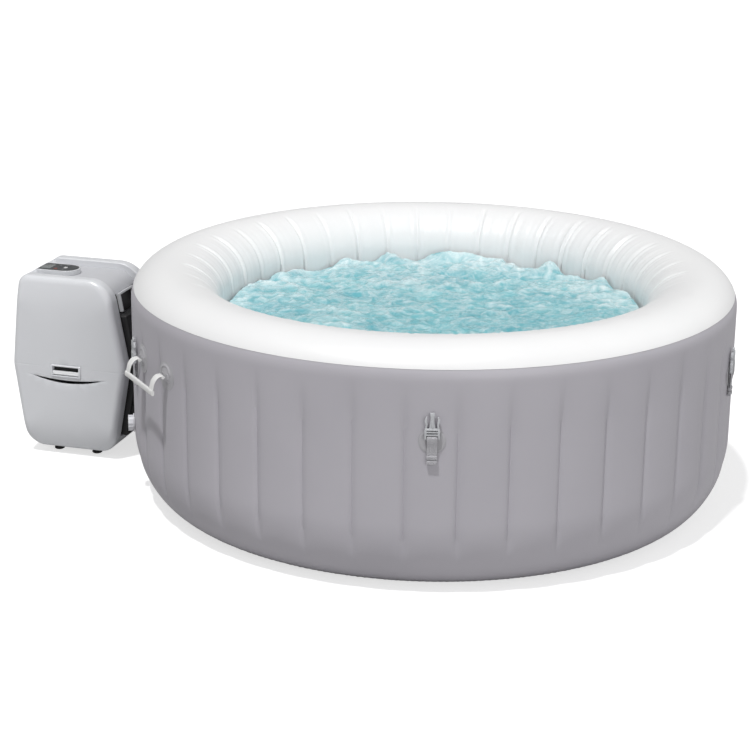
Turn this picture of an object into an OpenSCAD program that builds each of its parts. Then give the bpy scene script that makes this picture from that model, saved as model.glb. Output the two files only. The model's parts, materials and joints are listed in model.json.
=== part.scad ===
// Inflatable hot tub: an air-walled round tub and the heater pump that stands beside it.
// Millimetres. The origin is the centre of the tub's base, +Z is up, and the pump
// stands along -X. The pump's broad latch side faces -Y.

/* [Tub] */
// Outer diameter of the inflated wall
tub_d = 1700; // [1400:10:2100]
// Height of the inflated wall
tub_h = 660; // [540:5:800]
// Width of the wall from its outside to the space inside
wall_w = 250; // [210:5:300]
// How far the ring that the wall stands on lies in from the outside
foot_in = 132; // [80:1:160]
// Height where the bulging foot of the wall meets its upright part
foot_h = 200; // [120:5:240]
// How far below the top the outer wall starts to curve in
shoulder_drop = 85; // [60:5:120]
// How far below the top the inner wall starts to curve out over the rim
lip_drop = 120; // [80:5:160]
// How far the highest line of the rim lies in from the outside
crest_in = 105; // [80:1:140]
// Thickness of every skin of the tub
skin_t = 2.5; // [1.5:0.1:4]
// Thickness of the floor liner
liner_t = 4; // [2:0.5:12]
// Number of air chambers round the wall
chambers = 40; // [24:1:60]
// Thickness of the strip between two chambers
web_t = 1; // [0.6:0.1:2]

/* [Bubble ring] */
// Width of the air channel at the foot of the inner wall
ring_w = 16; // [10:1:30]
// Height of the air channel
ring_h = 28; // [20:1:50]
// Radius of each air jet hole
jet_r = 1.6; // [0.8:0.1:3]

/* [Ports] */
// Sideways distance of each water port from the middle
water_y = 55; // [46:1:60]
// Height of the water ports
water_z = 150; // [130:1:180]
// Outer radius of a water pipe
water_pipe_r = 24; // [16:0.5:29]
// Height of the air port
air_z = 330; // [300:1:345]
// Outer radius of the air pipe
air_pipe_r = 18; // [12:0.5:22]
// Wall thickness of the pipes
pipe_t = 4; // [2:0.5:5]
// Running clearance between a turning piece and what it turns on
run_c = 0.05; // [0.02:0.01:0.1]

/* [Handles and buckles] */
// Angle of the front carry handle round the tub
handle_angle = -136; // [-140:1:-130]
// How far the carry handles' hinge line lies below the start of the shoulder
handle_fall = 112; // [90:1:140]
// Length of a handle between the middles of its legs
handle_len = 170; // [130:1:200]
// Angle of the front buckle round the tub
buckle_angle = -75; // [-80:1:-70]
// How far the bar that a buckle hangs on lies below the start of the shoulder
buckle_fall = 141; // [125:1:165]
// Length of a buckle from its bar to the tips of its prongs
buckle_len = 66; // [56:1:80]
// Width of the webbing
webbing_w = 26; // [20:1:32]
// How much wider a buckle is than its webbing
buckle_extra = 12; // [10:1:16]

/* [Pump] */
// Distance from the tub's outside to the middle of the pump
pump_away = 230; // [226:1:330]
// Depth of the pump from its front face to its rear face
pump_d = 300; // [280:2:380]
// Height of the pump's top edge above the ground
pump_h = 550; // [510:5:680]
// Height of the seam between the upper and lower covers
seam_z = 281; // [270:1:295]
// Thickness of the moulded covers
cover_t = 3; // [2:0.5:4]
// Depth of the recess that the top band lies in
recess_depth = 20; // [12:1:24]
// Half width of that recess
recess_half = 90; // [82:1:100]
// Height of the rubber feet
foot_t = 20; // [15:1:30]
// Width of the control panel along the pump
panel_l = 124; // [110:1:130]
// Width of the control panel across the pump
panel_w = 80; // [70:1:90]

/* [Latches] */
// Width of a latch frame
latch_w = 98; // [90:1:110]
// Height of a latch frame
latch_h = 38; // [34:1:44]

/* [Hidden] */
$fn = 64;
// Overshoot that keeps cuts from leaving a skin
over = 1;
// Gap between pieces that fit together without touching
gap = 0.3;

tub_r = tub_d / 2;
cavity_r = tub_r - wall_w;
base_ring_r = tub_r - foot_in;
crest_r = tub_r - crest_in;
shoulder_h = tub_h - shoulder_drop;
lip_h = tub_h - lip_drop;
handle_z = shoulder_h - handle_fall;
buckle_z = shoulder_h - buckle_fall;
buckle_w = webbing_w + buckle_extra;
pump_x = tub_r + pump_away;
// Angle on the shoulder's ellipse where the grey wall is welded to the white rim
rim_seam_a = 28;
// Angle on the lip's ellipse where the rim is welded to the inner wall
lip_seam_a = 125;
// Straight steps in each curved stretch of a wall section
arc_steps = 12;
pitch_a = 360 / chambers;
floor_z = skin_t + liner_t;

// Points of an elliptical arc about [r, z] in a wall section
function arc(r, z, ar, az, a0, a1) = [
    for (i = [0 : arc_steps])
        let (a = a0 + (a1 - a0) * i / arc_steps)
        [r + ar * cos(a), z + az * sin(a)]
];
function reversed(points) = [for (i = [len(points) - 1 : -1 : 0]) points[i]];

// Section curves of the wall, each moved in by t
function foot_arc(t) = arc(base_ring_r, foot_h, tub_r - base_ring_r - t, foot_h - t, -90, 0);
function shoulder_arc(t, a0, a1) =
    arc(crest_r, shoulder_h, tub_r - crest_r - t, tub_h - shoulder_h - t, a0, a1);
function lip_arc(t, a0, a1) =
    arc(crest_r, lip_h, crest_r - cavity_r - t, tub_h - lip_h - t, a0, a1);

module skin(outside, inside) {
    rotate_extrude()
    polygon(concat(outside, reversed(inside)));
}

// Stands its child at a distance from the tub's axis, at an angle and height, child +Z outwards
module on_wall(angle, z, r) {
    rotate([0, 0, angle])
    translate([r, 0, z])
    rotate([0, 90, 0])
    children();
}

// A cylinder along +X from x0 to x1
module bar_x(x0, x1, r, y = 0, z = 0) {
    translate([x0, y, z])
    rotate([0, 90, 0])
    cylinder(h = x1 - x0, r = r);
}

// A cylinder along +Y from y0 to y1
module bar_y(y0, y1, r, x = 0, z = 0) {
    translate([x, y1, z])
    rotate([90, 0, 0])
    cylinder(h = y1 - y0, r = r);
}

// ---------------------------------------------------------------- ports
// Each port: sideways place, height, outer radius of its pipe
inlet_port = [-water_y, water_z, water_pipe_r];
outlet_port = [water_y, water_z, water_pipe_r];
air_port = [0, air_z, air_pipe_r];
ports = [inlet_port, outlet_port, air_port];
collar_add = 3;
flange_add = 12;
flange_t = 4;
// Faces of a port's pieces, measured from the tub's axis
outer_flange_r = tub_r + 1;
port_face_r = outer_flange_r + 14;
gasket_t = 2;
pump_collar_l = 9;
nut_half = 9;
inner_flange_r = cavity_r - 10;
// The drain goes through both skins near the foot, and the inflation valve opens into a chamber
drain_angle = 158;
drain_z = foot_h / 2;
drain_r = 13;
drain_face_r = tub_r - 8;
valve_angle = 204;
valve_z = 208;
valve_r = 17;
valve_depth = 24;

module port_holes(grow) {
    for (p = ports)
        bar_x(-tub_r - 5, -cavity_r + 5, p[2] + grow, p[0], p[1]);
}

module drain_hole(grow) {
    on_wall(drain_angle, drain_z, cavity_r - 5)
    cylinder(h = tub_r - cavity_r + 10, r = drain_r + grow);
}

module valve_hole(grow) {
    on_wall(valve_angle, valve_z, tub_r - valve_depth - 5)
    cylinder(h = valve_depth + 10, r = valve_r + grow);
}

// ---------------------------------------------------------------- tub skins
module outer_wall() {
    color([0.61, 0.60, 0.63])
    difference() {
        skin(
            concat(foot_arc(0), shoulder_arc(0, 0, rim_seam_a)),
            concat(foot_arc(skin_t), shoulder_arc(skin_t, 0, rim_seam_a))
        );
        port_holes(gap);
        drain_hole(gap);
        valve_hole(gap);
    }
}

module top_rim() {
    color([0.93, 0.93, 0.93])
    skin(
        concat(shoulder_arc(0, rim_seam_a, 90), lip_arc(0, 90, lip_seam_a)),
        concat(shoulder_arc(skin_t, rim_seam_a, 90), lip_arc(skin_t, 90, lip_seam_a))
    );
}

module inner_wall() {
    color([0.95, 0.95, 0.95])
    difference() {
        skin(
            concat(lip_arc(0, lip_seam_a, 180), [[cavity_r, skin_t]]),
            concat(lip_arc(skin_t, lip_seam_a, 180), [[cavity_r + skin_t, skin_t]])
        );
        port_holes(1);
        drain_hole(gap);
    }
}

module floor_liner() {
    color([0.86, 0.87, 0.87])
    translate([0, 0, skin_t])
    cylinder(h = liner_t, r = cavity_r - gap);
}

module base_sheet() {
    color([0.45, 0.45, 0.48])
    cylinder(h = skin_t, r = base_ring_r);
}

// Sheets that hold the inner and outer skins together between the chambers
module chamber_webs() {
    web_in = cavity_r + skin_t + 1;
    web_out = tub_r - skin_t - 14;
    web_low = foot_h * 0.6;
    web_top = min(shoulder_h, lip_h);
    color([0.9, 0.9, 0.9])
    difference() {
        for (k = [0 : chambers - 1])
            rotate([0, 0, buckle_angle + (k + 0.5) * pitch_a])
            translate([web_in, -web_t / 2, web_low])
            cube([web_out - web_in, web_t, web_top - web_low]);
        port_holes(3);
        drain_hole(3);
        valve_hole(3);
    }
}

// Air channel round the foot of the inner wall, with one jet for each chamber and the
// flat duct that feeds it from the air port, between the filter and the outlet
module bubble_ring() {
    ring_in = cavity_r - ring_w;
    wall = 2.5;
    head_half = air_pipe_r + 8;
    head_z = air_z - head_half;
    duct_out = inner_flange_r - flange_t - gap;
    duct_d = 14;
    duct_y = filter_r + 2 - water_y;
    duct_w = water_y - water_pipe_r - 2 - duct_y;
    color([0.88, 0.89, 0.9])
    difference() {
        union() {
            translate([0, 0, floor_z])
            rotate_extrude()
            translate([ring_in, 0])
            square([ring_w - gap, ring_h]);
            translate([-duct_out, duct_y, floor_z])
            cube([duct_d, duct_w, head_z + wall - floor_z]);
            translate([-duct_out, -head_half, head_z])
            cube([duct_d, 2 * head_half, 2 * head_half]);
        }
        translate([0, 0, floor_z + wall])
        rotate_extrude()
        translate([ring_in + wall, 0])
        square([ring_w - 2 * wall, ring_h - 2 * wall]);
        translate([-duct_out + wall, duct_y + wall, floor_z + wall])
        cube([duct_d - 2 * wall, duct_w - 2 * wall, head_z + over - floor_z]);
        translate([-duct_out + wall, wall - head_half, head_z + wall])
        cube([duct_d - 2 * wall, 2 * (head_half - wall), 2 * (head_half - wall)]);
        translate([-ring_in - wall - over, duct_y + wall, floor_z + wall])
        cube([duct_d, duct_w - 2 * wall, ring_h - 2 * wall]);
        bar_x(-duct_out - over, -duct_out + wall + over, air_pipe_r - pipe_t, 0, air_z);
        for (k = [0 : chambers - 1])
            rotate([0, 0, buckle_angle + (k + 0.5) * pitch_a])
            translate([ring_in - over, 0, floor_z + ring_h / 2])
            rotate([0, 90, 0])
            cylinder(h = wall + 2 * over, r = jet_r, $fn = 8);
    }
}

// ---------------------------------------------------------------- port pieces
module wall_pipe(p) {
    difference() {
        union() {
            bar_x(-port_face_r, -inner_flange_r + flange_t, p[2], p[0], p[1]);
            bar_x(-port_face_r, -outer_flange_r, p[2] + collar_add, p[0], p[1]);
            bar_x(-outer_flange_r - flange_t, -outer_flange_r, p[2] + flange_add, p[0], p[1]);
            bar_x(-inner_flange_r, -inner_flange_r + flange_t, p[2] + flange_add, p[0], p[1]);
        }
        bar_x(-port_face_r - over, -inner_flange_r + flange_t + over, p[2] - pipe_t, p[0], p[1]);
    }
}

module inlet_wall_pipe() {
    color([0.8, 0.8, 0.82])
    wall_pipe(inlet_port);
}

module outlet_wall_pipe() {
    color([0.8, 0.8, 0.82])
    wall_pipe(outlet_port);
}

module air_wall_pipe() {
    color([0.8, 0.8, 0.82])
    wall_pipe(air_port);
}

module port_gaskets() {
    color([0.12, 0.12, 0.12])
    for (p = ports)
        difference() {
            bar_x(-port_face_r - gasket_t, -port_face_r, p[2] + collar_add, p[0], p[1]);
            bar_x(-port_face_r - gasket_t - over, -port_face_r + over, p[2] - pipe_t, p[0], p[1]);
        }
}

// Nut that clamps a pump pipe to a wall pipe, with ribs for the hand
module union_nut(p) {
    middle = port_face_r + gasket_t / 2;
    ring_r = p[2] + collar_add + 6;
    ribs = 8;
    difference() {
        union() {
            bar_x(-middle - nut_half, -middle + nut_half, ring_r, p[0], p[1]);
            for (k = [0 : ribs - 1])
                translate([-middle, p[0], p[1]])
                rotate([(k + 0.5) * 360 / ribs, 0, 0])
                translate([-nut_half, -3, ring_r - 2])
                cube([2 * nut_half, 6, 5]);
        }
        bar_x(-middle - nut_half - over, -middle + nut_half + over,
            p[2] + collar_add + run_c, p[0], p[1]);
    }
}

module inlet_union_nut() {
    color([0.16, 0.16, 0.17])
    union_nut(inlet_port);
}

module outlet_union_nut() {
    color([0.16, 0.16, 0.17])
    union_nut(outlet_port);
}

module air_union_nut() {
    color([0.16, 0.16, 0.17])
    union_nut(air_port);
}

// ---------------------------------------------------------------- filter
filter_r = 48;
filter_l = 84;
filter_t = 3;
filter_x = -inner_flange_r + flange_t;
cap_skirt = 12;
cap_t = 4;

module filter_housing() {
    slots = 10;
    color([0.85, 0.86, 0.88])
    difference() {
        bar_x(filter_x, filter_x + filter_l, filter_r, inlet_port[0], inlet_port[1]);
        bar_x(filter_x + filter_t, filter_x + filter_l + over, filter_r - filter_t,
            inlet_port[0], inlet_port[1]);
        bar_x(filter_x - over, filter_x + filter_t + over, inlet_port[2] - pipe_t,
            inlet_port[0], inlet_port[1]);
        for (k = [0 : slots - 1])
            translate([0, inlet_port[0], inlet_port[1]])
            rotate([(k + 0.5) * 360 / slots, 0, 0])
            translate([filter_x + 14, -3, filter_r - filter_t - over])
            cube([filter_l - cap_skirt - 24, 6, filter_t + 2 * over]);
    }
}

// Pleated paper round a hollow core, between two end rings
module filter_cartridge() {
    end_r = filter_r - filter_t - 2;
    core_r = 18;
    x0 = filter_x + filter_t + gap;
    x1 = filter_x + filter_l - 2;
    ring_l = 5;
    pleats = 24;
    color([0.93, 0.93, 0.9])
    difference() {
        union() {
            bar_x(x0, x0 + ring_l, end_r, inlet_port[0], inlet_port[1]);
            bar_x(x1 - ring_l, x1, end_r, inlet_port[0], inlet_port[1]);
            translate([x0 + ring_l, inlet_port[0], inlet_port[1]])
            rotate([0, 90, 0])
            linear_extrude(x1 - x0 - 2 * ring_l)
            polygon([
                for (k = [0 : 2 * pleats - 1])
                    let (r = k % 2 == 0 ? end_r - 1 : end_r - 8)
                    r * [cos(k * 180 / pleats), sin(k * 180 / pleats)]
            ]);
        }
        bar_x(x0 - over, x1 + over, core_r, inlet_port[0], inlet_port[1]);
    }
}

module filter_cap() {
    x0 = filter_x + filter_l - cap_skirt;
    x1 = filter_x + filter_l + gap;
    ribs = 10;
    color([0.85, 0.86, 0.88])
    difference() {
        union() {
            bar_x(x0, x1 + cap_t, filter_r + 4, inlet_port[0], inlet_port[1]);
            for (k = [0 : ribs - 1])
                translate([0, inlet_port[0], inlet_port[1]])
                rotate([(k + 0.5) * 360 / ribs, 0, 0])
                translate([x0, -3, filter_r + 2])
                cube([x1 + cap_t - x0, 6, 4]);
        }
        bar_x(x0 - over, x1, filter_r + run_c, inlet_port[0], inlet_port[1]);
    }
}

// ---------------------------------------------------------------- valves in the wall
screw_cap_h = 14;
spigot_h = 16;

// Flanged spigot through the wall; the cap turns on the spigot's outside
module valve_body(r, depth) {
    difference() {
        union() {
            translate([0, 0, 0.6])
            cylinder(h = 3, r = r + 10);
            translate([0, 0, -depth])
            cylinder(h = depth + spigot_h, r = r);
        }
        translate([0, 0, -depth - over])
        cylinder(h = depth + spigot_h + 2 * over, r = r - 4);
    }
}

module screw_cap(r) {
    ribs = 12;
    difference() {
        union() {
            translate([0, 0, 4.2])
            cylinder(h = screw_cap_h, r = r + 4);
            for (k = [0 : ribs - 1])
                rotate([0, 0, (k + 0.5) * 360 / ribs])
                translate([r + 2, -1.5, 4.2])
                cube([3.5, 3, screw_cap_h]);
        }
        cylinder(h = spigot_h + gap, r = r + run_c);
    }
}

// The drain's tube ends in a second flange on the inner wall
module drain_valve_body() {
    depth = drain_face_r - cavity_r + 8;
    color([0.86, 0.86, 0.88])
    on_wall(drain_angle, drain_z, drain_face_r) {
        valve_body(drain_r, depth);
        translate([0, 0, -depth])
        difference() {
            cylinder(h = 3, r = drain_r + 10);
            translate([0, 0, -over])
            cylinder(h = 3 + 2 * over, r = drain_r - 1);
        }
    }
}

module drain_cap() {
    color([0.9, 0.9, 0.91])
    on_wall(drain_angle, drain_z, drain_face_r)
    screw_cap(drain_r);
}

module inflation_valve_body() {
    color([0.86, 0.86, 0.88])
    on_wall(valve_angle, valve_z, tub_r)
    valve_body(valve_r, valve_depth);
}

module inflation_cap() {
    color([0.9, 0.9, 0.91])
    on_wall(valve_angle, valve_z, tub_r)
    screw_cap(valve_r);
}

// ---------------------------------------------------------------- carry handles
handle_angles = [handle_angle, handle_angle + 180];
handle_pin_r = 3;
// Distance of the hinge line outside the tub's outer radius
handle_out = 10;
// How far the grip stands beyond the hinge line, and how far below it
grip_out = 31;
grip_drop = 39;
band_t = 3;
leg_half = webbing_w / 2;

// Places a child at a handle: child +X outwards, +Y round the tub, +Z up, on the hinge line
module at_handle(k) {
    rotate([0, 0, handle_angles[k]])
    translate([tub_r + handle_out, 0, handle_z])
    children();
}

// Welded pads with two ears and a pin for each end of both handles
module handle_anchors() {
    end_a = asin(handle_len / 2 / tub_r);
    pad_r = 27;
    pad_t = 3;
    ear_t = 3;
    ear_in = leg_half + 1;
    pad_face = tub_r + 0.6 + pad_t;
    color([0.58, 0.57, 0.6])
    for (k = [0, 1])
        for (side = [-1, 1]) {
            rotate([0, 0, handle_angles[k] + side * end_a])
            translate([tub_r + 0.6, 0, handle_z])
            rotate([0, 90, 0])
            cylinder(h = pad_t, r = pad_r);
            at_handle(k)
            translate([0, side * handle_len / 2, 0]) {
                for (ear = [-1, 1])
                    translate([-handle_out - 2, ear * (ear_in + ear_t / 2) - ear_t / 2, -5])
                    cube([handle_out + 2 + 5, ear_t, 10]);
                bar_y(-ear_in - 0.5, ear_in + 0.5, handle_pin_r);
            }
        }
}

// Flat band from one pin out and down to the grip, along it and back to the other pin
module carry_handle(k) {
    reach = sqrt(grip_out * grip_out + grip_drop * grip_drop);
    tilt = atan2(grip_drop, grip_out);
    eye_r = handle_pin_r + 3;
    grip_t = 8;
    grip_h = 14;
    at_handle(k)
    rotate([0, tilt, 0])
    difference() {
        union() {
            for (side = [-1, 1]) {
                translate([0, side * handle_len / 2 - leg_half, -band_t / 2])
                cube([reach, webbing_w, band_t]);
                bar_y(side * handle_len / 2 - leg_half, side * handle_len / 2 + leg_half, eye_r);
            }
            translate([reach - grip_h, -handle_len / 2 - leg_half, -grip_t / 2])
            cube([grip_h, handle_len + 2 * leg_half, grip_t]);
        }
        bar_y(-handle_len, handle_len, handle_pin_r + run_c);
    }
}

module front_handle() {
    color([0.75, 0.75, 0.74])
    carry_handle(0);
}

module rear_handle() {
    color([0.75, 0.75, 0.74])
    carry_handle(1);
}

// ---------------------------------------------------------------- cover buckles
buckle_pin_r = 2;
// Distance of a buckle's bar outside the tub's outer radius
buckle_out = 8;
strap_t = 2;
strap_drop = 68;
buckle_t = 8;
buckle_count = 5;

module at_buckle(k) {
    rotate([0, 0, buckle_angle + k * 360 / buckle_count])
    translate([tub_r + buckle_out, 0, buckle_z])
    children();
}

// Round welded patch, webbing with its hanging tail, and the eye that holds the bar
module buckle_strap(k) {
    patch_r = 34;
    eye_r = buckle_pin_r + 2.4;
    strap_in = -buckle_out + 3;
    at_buckle(k) {
        translate([-buckle_out + 0.6, 0, -10])
        rotate([0, 90, 0])
        cylinder(h = 2.4, r = patch_r);
        difference() {
            union() {
                translate([strap_in, -webbing_w / 2, -strap_drop])
                cube([strap_t, webbing_w, strap_drop]);
                translate([strap_in, -webbing_w / 2, -eye_r])
                cube([-strap_in, webbing_w, eye_r]);
                bar_y(-webbing_w / 2, webbing_w / 2, eye_r);
            }
            bar_y(-webbing_w, webbing_w, buckle_pin_r + run_c);
        }
    }
}

module buckle_straps() {
    color([0.66, 0.66, 0.68])
    for (k = [0 : buckle_count - 1])
        buckle_strap(k);
}

// Male half of a side-release buckle: bar, base, middle prong and two sprung side arms
module male_buckle(k) {
    arm_w = 5;
    base_low = 9;
    base_high = 24;
    heel = 2.5;
    half = buckle_w / 2;
    at_buckle(k) {
        bar_y(-half + 1, half - 1, buckle_pin_r);
        for (side = [-1, 1])
            translate([-buckle_t / 2, side * (half - 2) - 2, -heel])
            cube([buckle_t, 4, base_high + heel]);
        translate([-buckle_t / 2, -half, base_low])
        cube([buckle_t, buckle_w, base_high - base_low]);
        translate([-buckle_t / 2, -3.5, base_high - over])
        cube([buckle_t, 7, buckle_len - base_high - 6 + over]);
        for (side = [-1, 1])
            translate([-buckle_t / 2, side * (half - arm_w / 2) - arm_w / 2, base_high - over])
            cube([buckle_t, arm_w, buckle_len - base_high + over]);
    }
}

module front_buckle() {
    color([0.72, 0.72, 0.74])
    male_buckle(0);
}

module right_buckle() {
    color([0.72, 0.72, 0.74])
    male_buckle(1);
}

module rear_right_buckle() {
    color([0.72, 0.72, 0.74])
    male_buckle(2);
}

module rear_left_buckle() {
    color([0.72, 0.72, 0.74])
    male_buckle(3);
}

module left_buckle() {
    color([0.72, 0.72, 0.74])
    male_buckle(4);
}

// ---------------------------------------------------------------- pump casing
// Sideways place of the control panel's straight end
panel_end = -138;
// Lower end of the tub side panel
panel_low = 66;
// Half length and half width of the base tray
tray_l = 84;
tray_w = 106;
latch_low = seam_z - 30;
gland_r = 9;
gland_x = -60;
gland_z = 130;
// Reach of a cutting block past the casing
far = 400;
// Sideways place from which a block takes in only the tub side
side_from = 60;
// Corner circles of the pump's side outline, anticlockwise from the lower tub side:
// [sideways, height, radius]
corners = [
    [90, foot_t + 58, 58],
    [64, seam_z, 120],
    [70, pump_h - 80, 80],
    [-122, pump_h - 30, 30],
    [-62, seam_z, 113],
    [-90, foot_t + 58, 58],
];
// Straight steps in each corner of the outline
corner_steps = 5;

function spot(i) = [corners[i][0], corners[i][1]];
// Direction of the outward normal on the straight side from corner i to the next one
function side_normal(i) =
    let (j = (i + 1) % len(corners), d = spot(j) - spot(i))
    atan2(d[1], d[0]) - acos((corners[i][2] - corners[j][2]) / norm(d));
function turned(a, from) = a < from ? turned(a + 360, from) : a;
function outline_points(inset) = [
    for (i = [0 : len(corners) - 1])
        let (a0 = side_normal((i + len(corners) - 1) % len(corners)))
        let (a1 = turned(side_normal(i), a0))
        for (s = [0 : corner_steps])
            let (a = a0 + (a1 - a0) * s / corner_steps)
            spot(i) + (corners[i][2] - inset) * [cos(a), sin(a)]
];

module outline(inset) {
    polygon(outline_points(inset));
}

module in_pump() {
    translate([-pump_x, 0, 0])
    children();
}

// Extrudes a side outline from y0 to y1
module slab(y0, y1) {
    translate([0, y1, 0])
    rotate([90, 0, 0])
    linear_extrude(y1 - y0)
    children();
}

half_d = pump_d / 2;
crown = 30;
face_inset = 28;

// Whole casing as one crowned solid, moved in by t
module casing(t) {
    hull() {
        slab(-half_d + crown, half_d - crown)
        outline(t);
        slab(-half_d + 10, half_d - 10)
        outline(t + 10);
        slab(-half_d + t, half_d - t)
        outline(t + face_inset);
    }
}

// Space of the top band and the tub side panel, open on the top and the tub side
module recess() {
    intersection() {
        slab(-recess_half, recess_half)
        difference() {
            outline(-2 * crown);
            outline(recess_depth + cover_t);
        }
        union() {
            translate([panel_end - gap, -half_d, pump_h - 2 * recess_depth])
            cube([far, pump_d, far]);
            translate([side_from, -half_d, panel_low - gap])
            cube([far, pump_d, pump_h]);
        }
    }
}

module cover_shell() {
    difference() {
        casing(0);
        casing(cover_t);
        recess();
        translate([-tray_l - gap, -tray_w - gap, foot_t - over])
        cube([2 * (tray_l + gap), 2 * (tray_w + gap), 20]);
    }
}

// One of the four covers: side -1 is the front, upper is true above the seam
module cover(side, upper) {
    cut = 0.15;
    in_pump()
    difference() {
        intersection() {
            cover_shell();
            translate([-far, side < 0 ? -half_d - over : cut, upper ? seam_z + cut : 0])
            cube([2 * far, half_d + over - cut, upper ? pump_h : seam_z - cut]);
        }
        translate([-latch_w / 2 - gap, -half_d - 20, latch_low - gap])
        cube([latch_w + 2 * gap, pump_d + 40, latch_h + 2 * gap]);
        bar_y(half_d - 20, half_d + 20, gland_r + gap, gland_x, gland_z);
    }
}

module front_upper_cover() {
    color([0.77, 0.78, 0.8])
    cover(-1, true);
}

module front_lower_cover() {
    color([0.76, 0.77, 0.79])
    cover(-1, false);
}

module rear_upper_cover() {
    color([0.77, 0.78, 0.8])
    cover(1, true);
}

module rear_lower_cover() {
    color([0.76, 0.77, 0.79])
    cover(1, false);
}

// Height where the top band ends and the hand grip begins on the tub side
band_end_z = pump_h - 50;
grip_low_z = pump_h - 112;
channel_half = recess_half - gap;

// A channel in the recess: a floor at the recess depth and two upright sides
module channel(top_inset) {
    slab(-channel_half, channel_half)
    difference() {
        outline(recess_depth);
        outline(recess_depth + cover_t);
    }
    for (side = [-1, 1])
        translate([0, side * (channel_half - cover_t / 2), 0])
        slab(-cover_t / 2, cover_t / 2)
        difference() {
            outline(top_inset);
            outline(recess_depth + cover_t);
        }
}

module top_band() {
    color([0.68, 0.69, 0.71])
    in_pump()
    intersection() {
        channel(gap);
        translate([panel_end, -half_d, band_end_z + 0.15])
        cube([far, pump_d, far]);
        union() {
            translate([side_from, -half_d, 0])
            cube([far, pump_d, 2 * pump_h]);
            translate([-far, -half_d, pump_h - 1.8 * recess_depth])
            cube([2 * far, pump_d, far]);
        }
    }
}

// Black panel that faces the tub. Its upper part is the back of the hand grip and its
// lower part stands proud to meet the pipes.
proud = 16;
module tub_side_panel() {
    side_half = recess_half - 4;
    proud_from = 110;
    color([0.1, 0.1, 0.11])
    in_pump()
    difference() {
        union() {
            intersection() {
                channel(gap);
                translate([side_from, -half_d, grip_low_z])
                cube([far, pump_d, band_end_z - 0.15 - grip_low_z]);
            }
            intersection() {
                union() {
                    slab(-side_half, side_half)
                    difference() {
                        outline(-proud);
                        outline(-proud + cover_t);
                    }
                    for (side = [-1, 1])
                        translate([0, side * (side_half - cover_t / 2), 0])
                        slab(-cover_t / 2, cover_t / 2)
                        difference() {
                            outline(-proud);
                            outline(recess_depth);
                        }
                    translate([0, 0, grip_low_z - cover_t])
                    linear_extrude(cover_t)
                    translate([0, -side_half])
                    square([far, 2 * side_half]);
                }
                slab(-half_d, half_d)
                outline(-proud);
                translate([proud_from, -half_d, panel_low])
                cube([far, pump_d, grip_low_z - panel_low]);
            }
        }
        for (p = ports)
            bar_x(side_from, far, p[2] + gap, p[0], p[1]);
    }
}

// Light frame round the top and sides of the hand grip
module grip_frame() {
    frame_half = 52;
    bar = 8;
    stand = 12;
    color([0.84, 0.85, 0.86])
    in_pump()
    intersection() {
        slab(-frame_half, frame_half)
        difference() {
            outline(recess_depth - stand);
            outline(recess_depth);
        }
        translate([side_from, -half_d, grip_low_z + 4])
        cube([far, pump_d, band_end_z - grip_low_z - 4]);
        union() {
            translate([side_from, -half_d, band_end_z - bar])
            cube([far, pump_d, bar]);
            for (side = [-1, 1])
                translate([side_from, side * (frame_half - bar / 2) - bar / 2, 0])
                cube([far, bar, 2 * pump_h]);
        }
    }
}

module base_tray() {
    color([0.15, 0.15, 0.16])
    in_pump()
    translate([-tray_l, -tray_w, foot_t])
    cube([2 * tray_l, 2 * tray_w, 6]);
}

module rubber_feet() {
    color([0.08, 0.08, 0.08])
    in_pump()
    for (x = [-1, 1])
        for (y = [-1, 1])
            translate([x * (tray_l - 22), y * (tray_w - 24), 0])
            cylinder(h = foot_t, r = 15);
}

// ---------------------------------------------------------------- latches
lever_pin_r = 2;
lever_h = 13;
lever_t = 8;
latch_depth = 18;
latch_proud = 3;
latch_rim = 7;
lever_half = latch_w / 2 - latch_rim - 0.8;
// Depth of the lever's pins behind the front face
lever_pin_y = 4;

// Turns a front piece round to the rear; side -1 is the front
module at_latch(side) {
    in_pump()
    rotate([0, 0, side < 0 ? 0 : 180])
    translate([0, -half_d, latch_low])
    children();
}

module latch_frame(side) {
    back_t = 2.5;
    lever_z = latch_rim + lever_h / 2 - 1;
    at_latch(side)
    difference() {
        translate([-latch_w / 2, -latch_proud, 0])
        cube([latch_w, latch_depth, latch_h]);
        translate([-latch_w / 2 + latch_rim, -latch_proud - over, latch_rim - 2])
        cube([latch_w - 2 * latch_rim, latch_depth - back_t + over, latch_h - 2 * latch_rim + 4]);
        bar_x(-lever_half - 4, lever_half + 4, lever_pin_r + run_c, lever_pin_y, lever_z);
    }
}

// Finger plate that tips outwards at its top on two side pins
module latch_lever(side) {
    lever_z = latch_rim + lever_h / 2 - 1;
    at_latch(side) {
        translate([-lever_half, lever_pin_y - lever_t / 2, lever_z - lever_h / 2 + 1.2])
        cube([2 * lever_half, lever_t, lever_h - 1.2]);
        bar_x(-lever_half - 3, lever_half + 3, lever_pin_r, lever_pin_y, lever_z);
    }
}

module front_latch_frame() {
    color([0.85, 0.86, 0.88])
    latch_frame(-1);
}

module front_latch_lever() {
    color([0.95, 0.95, 0.96])
    latch_lever(-1);
}

module rear_latch_frame() {
    color([0.85, 0.86, 0.88])
    latch_frame(1);
}

module rear_latch_lever() {
    color([0.95, 0.95, 0.96])
    latch_lever(1);
}

// ---------------------------------------------------------------- control panel
band_top_z = pump_h - recess_depth;
panel_h = 16;
panel_top_z = band_top_z + panel_h;
panel_skin = 2.5;
button_r = 6;
button_travel = 1;
button_proud = 1.2;
window_l = 30;
window_w = 44;
window_t = 1.2;
window_x = panel_end + 8;
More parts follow.
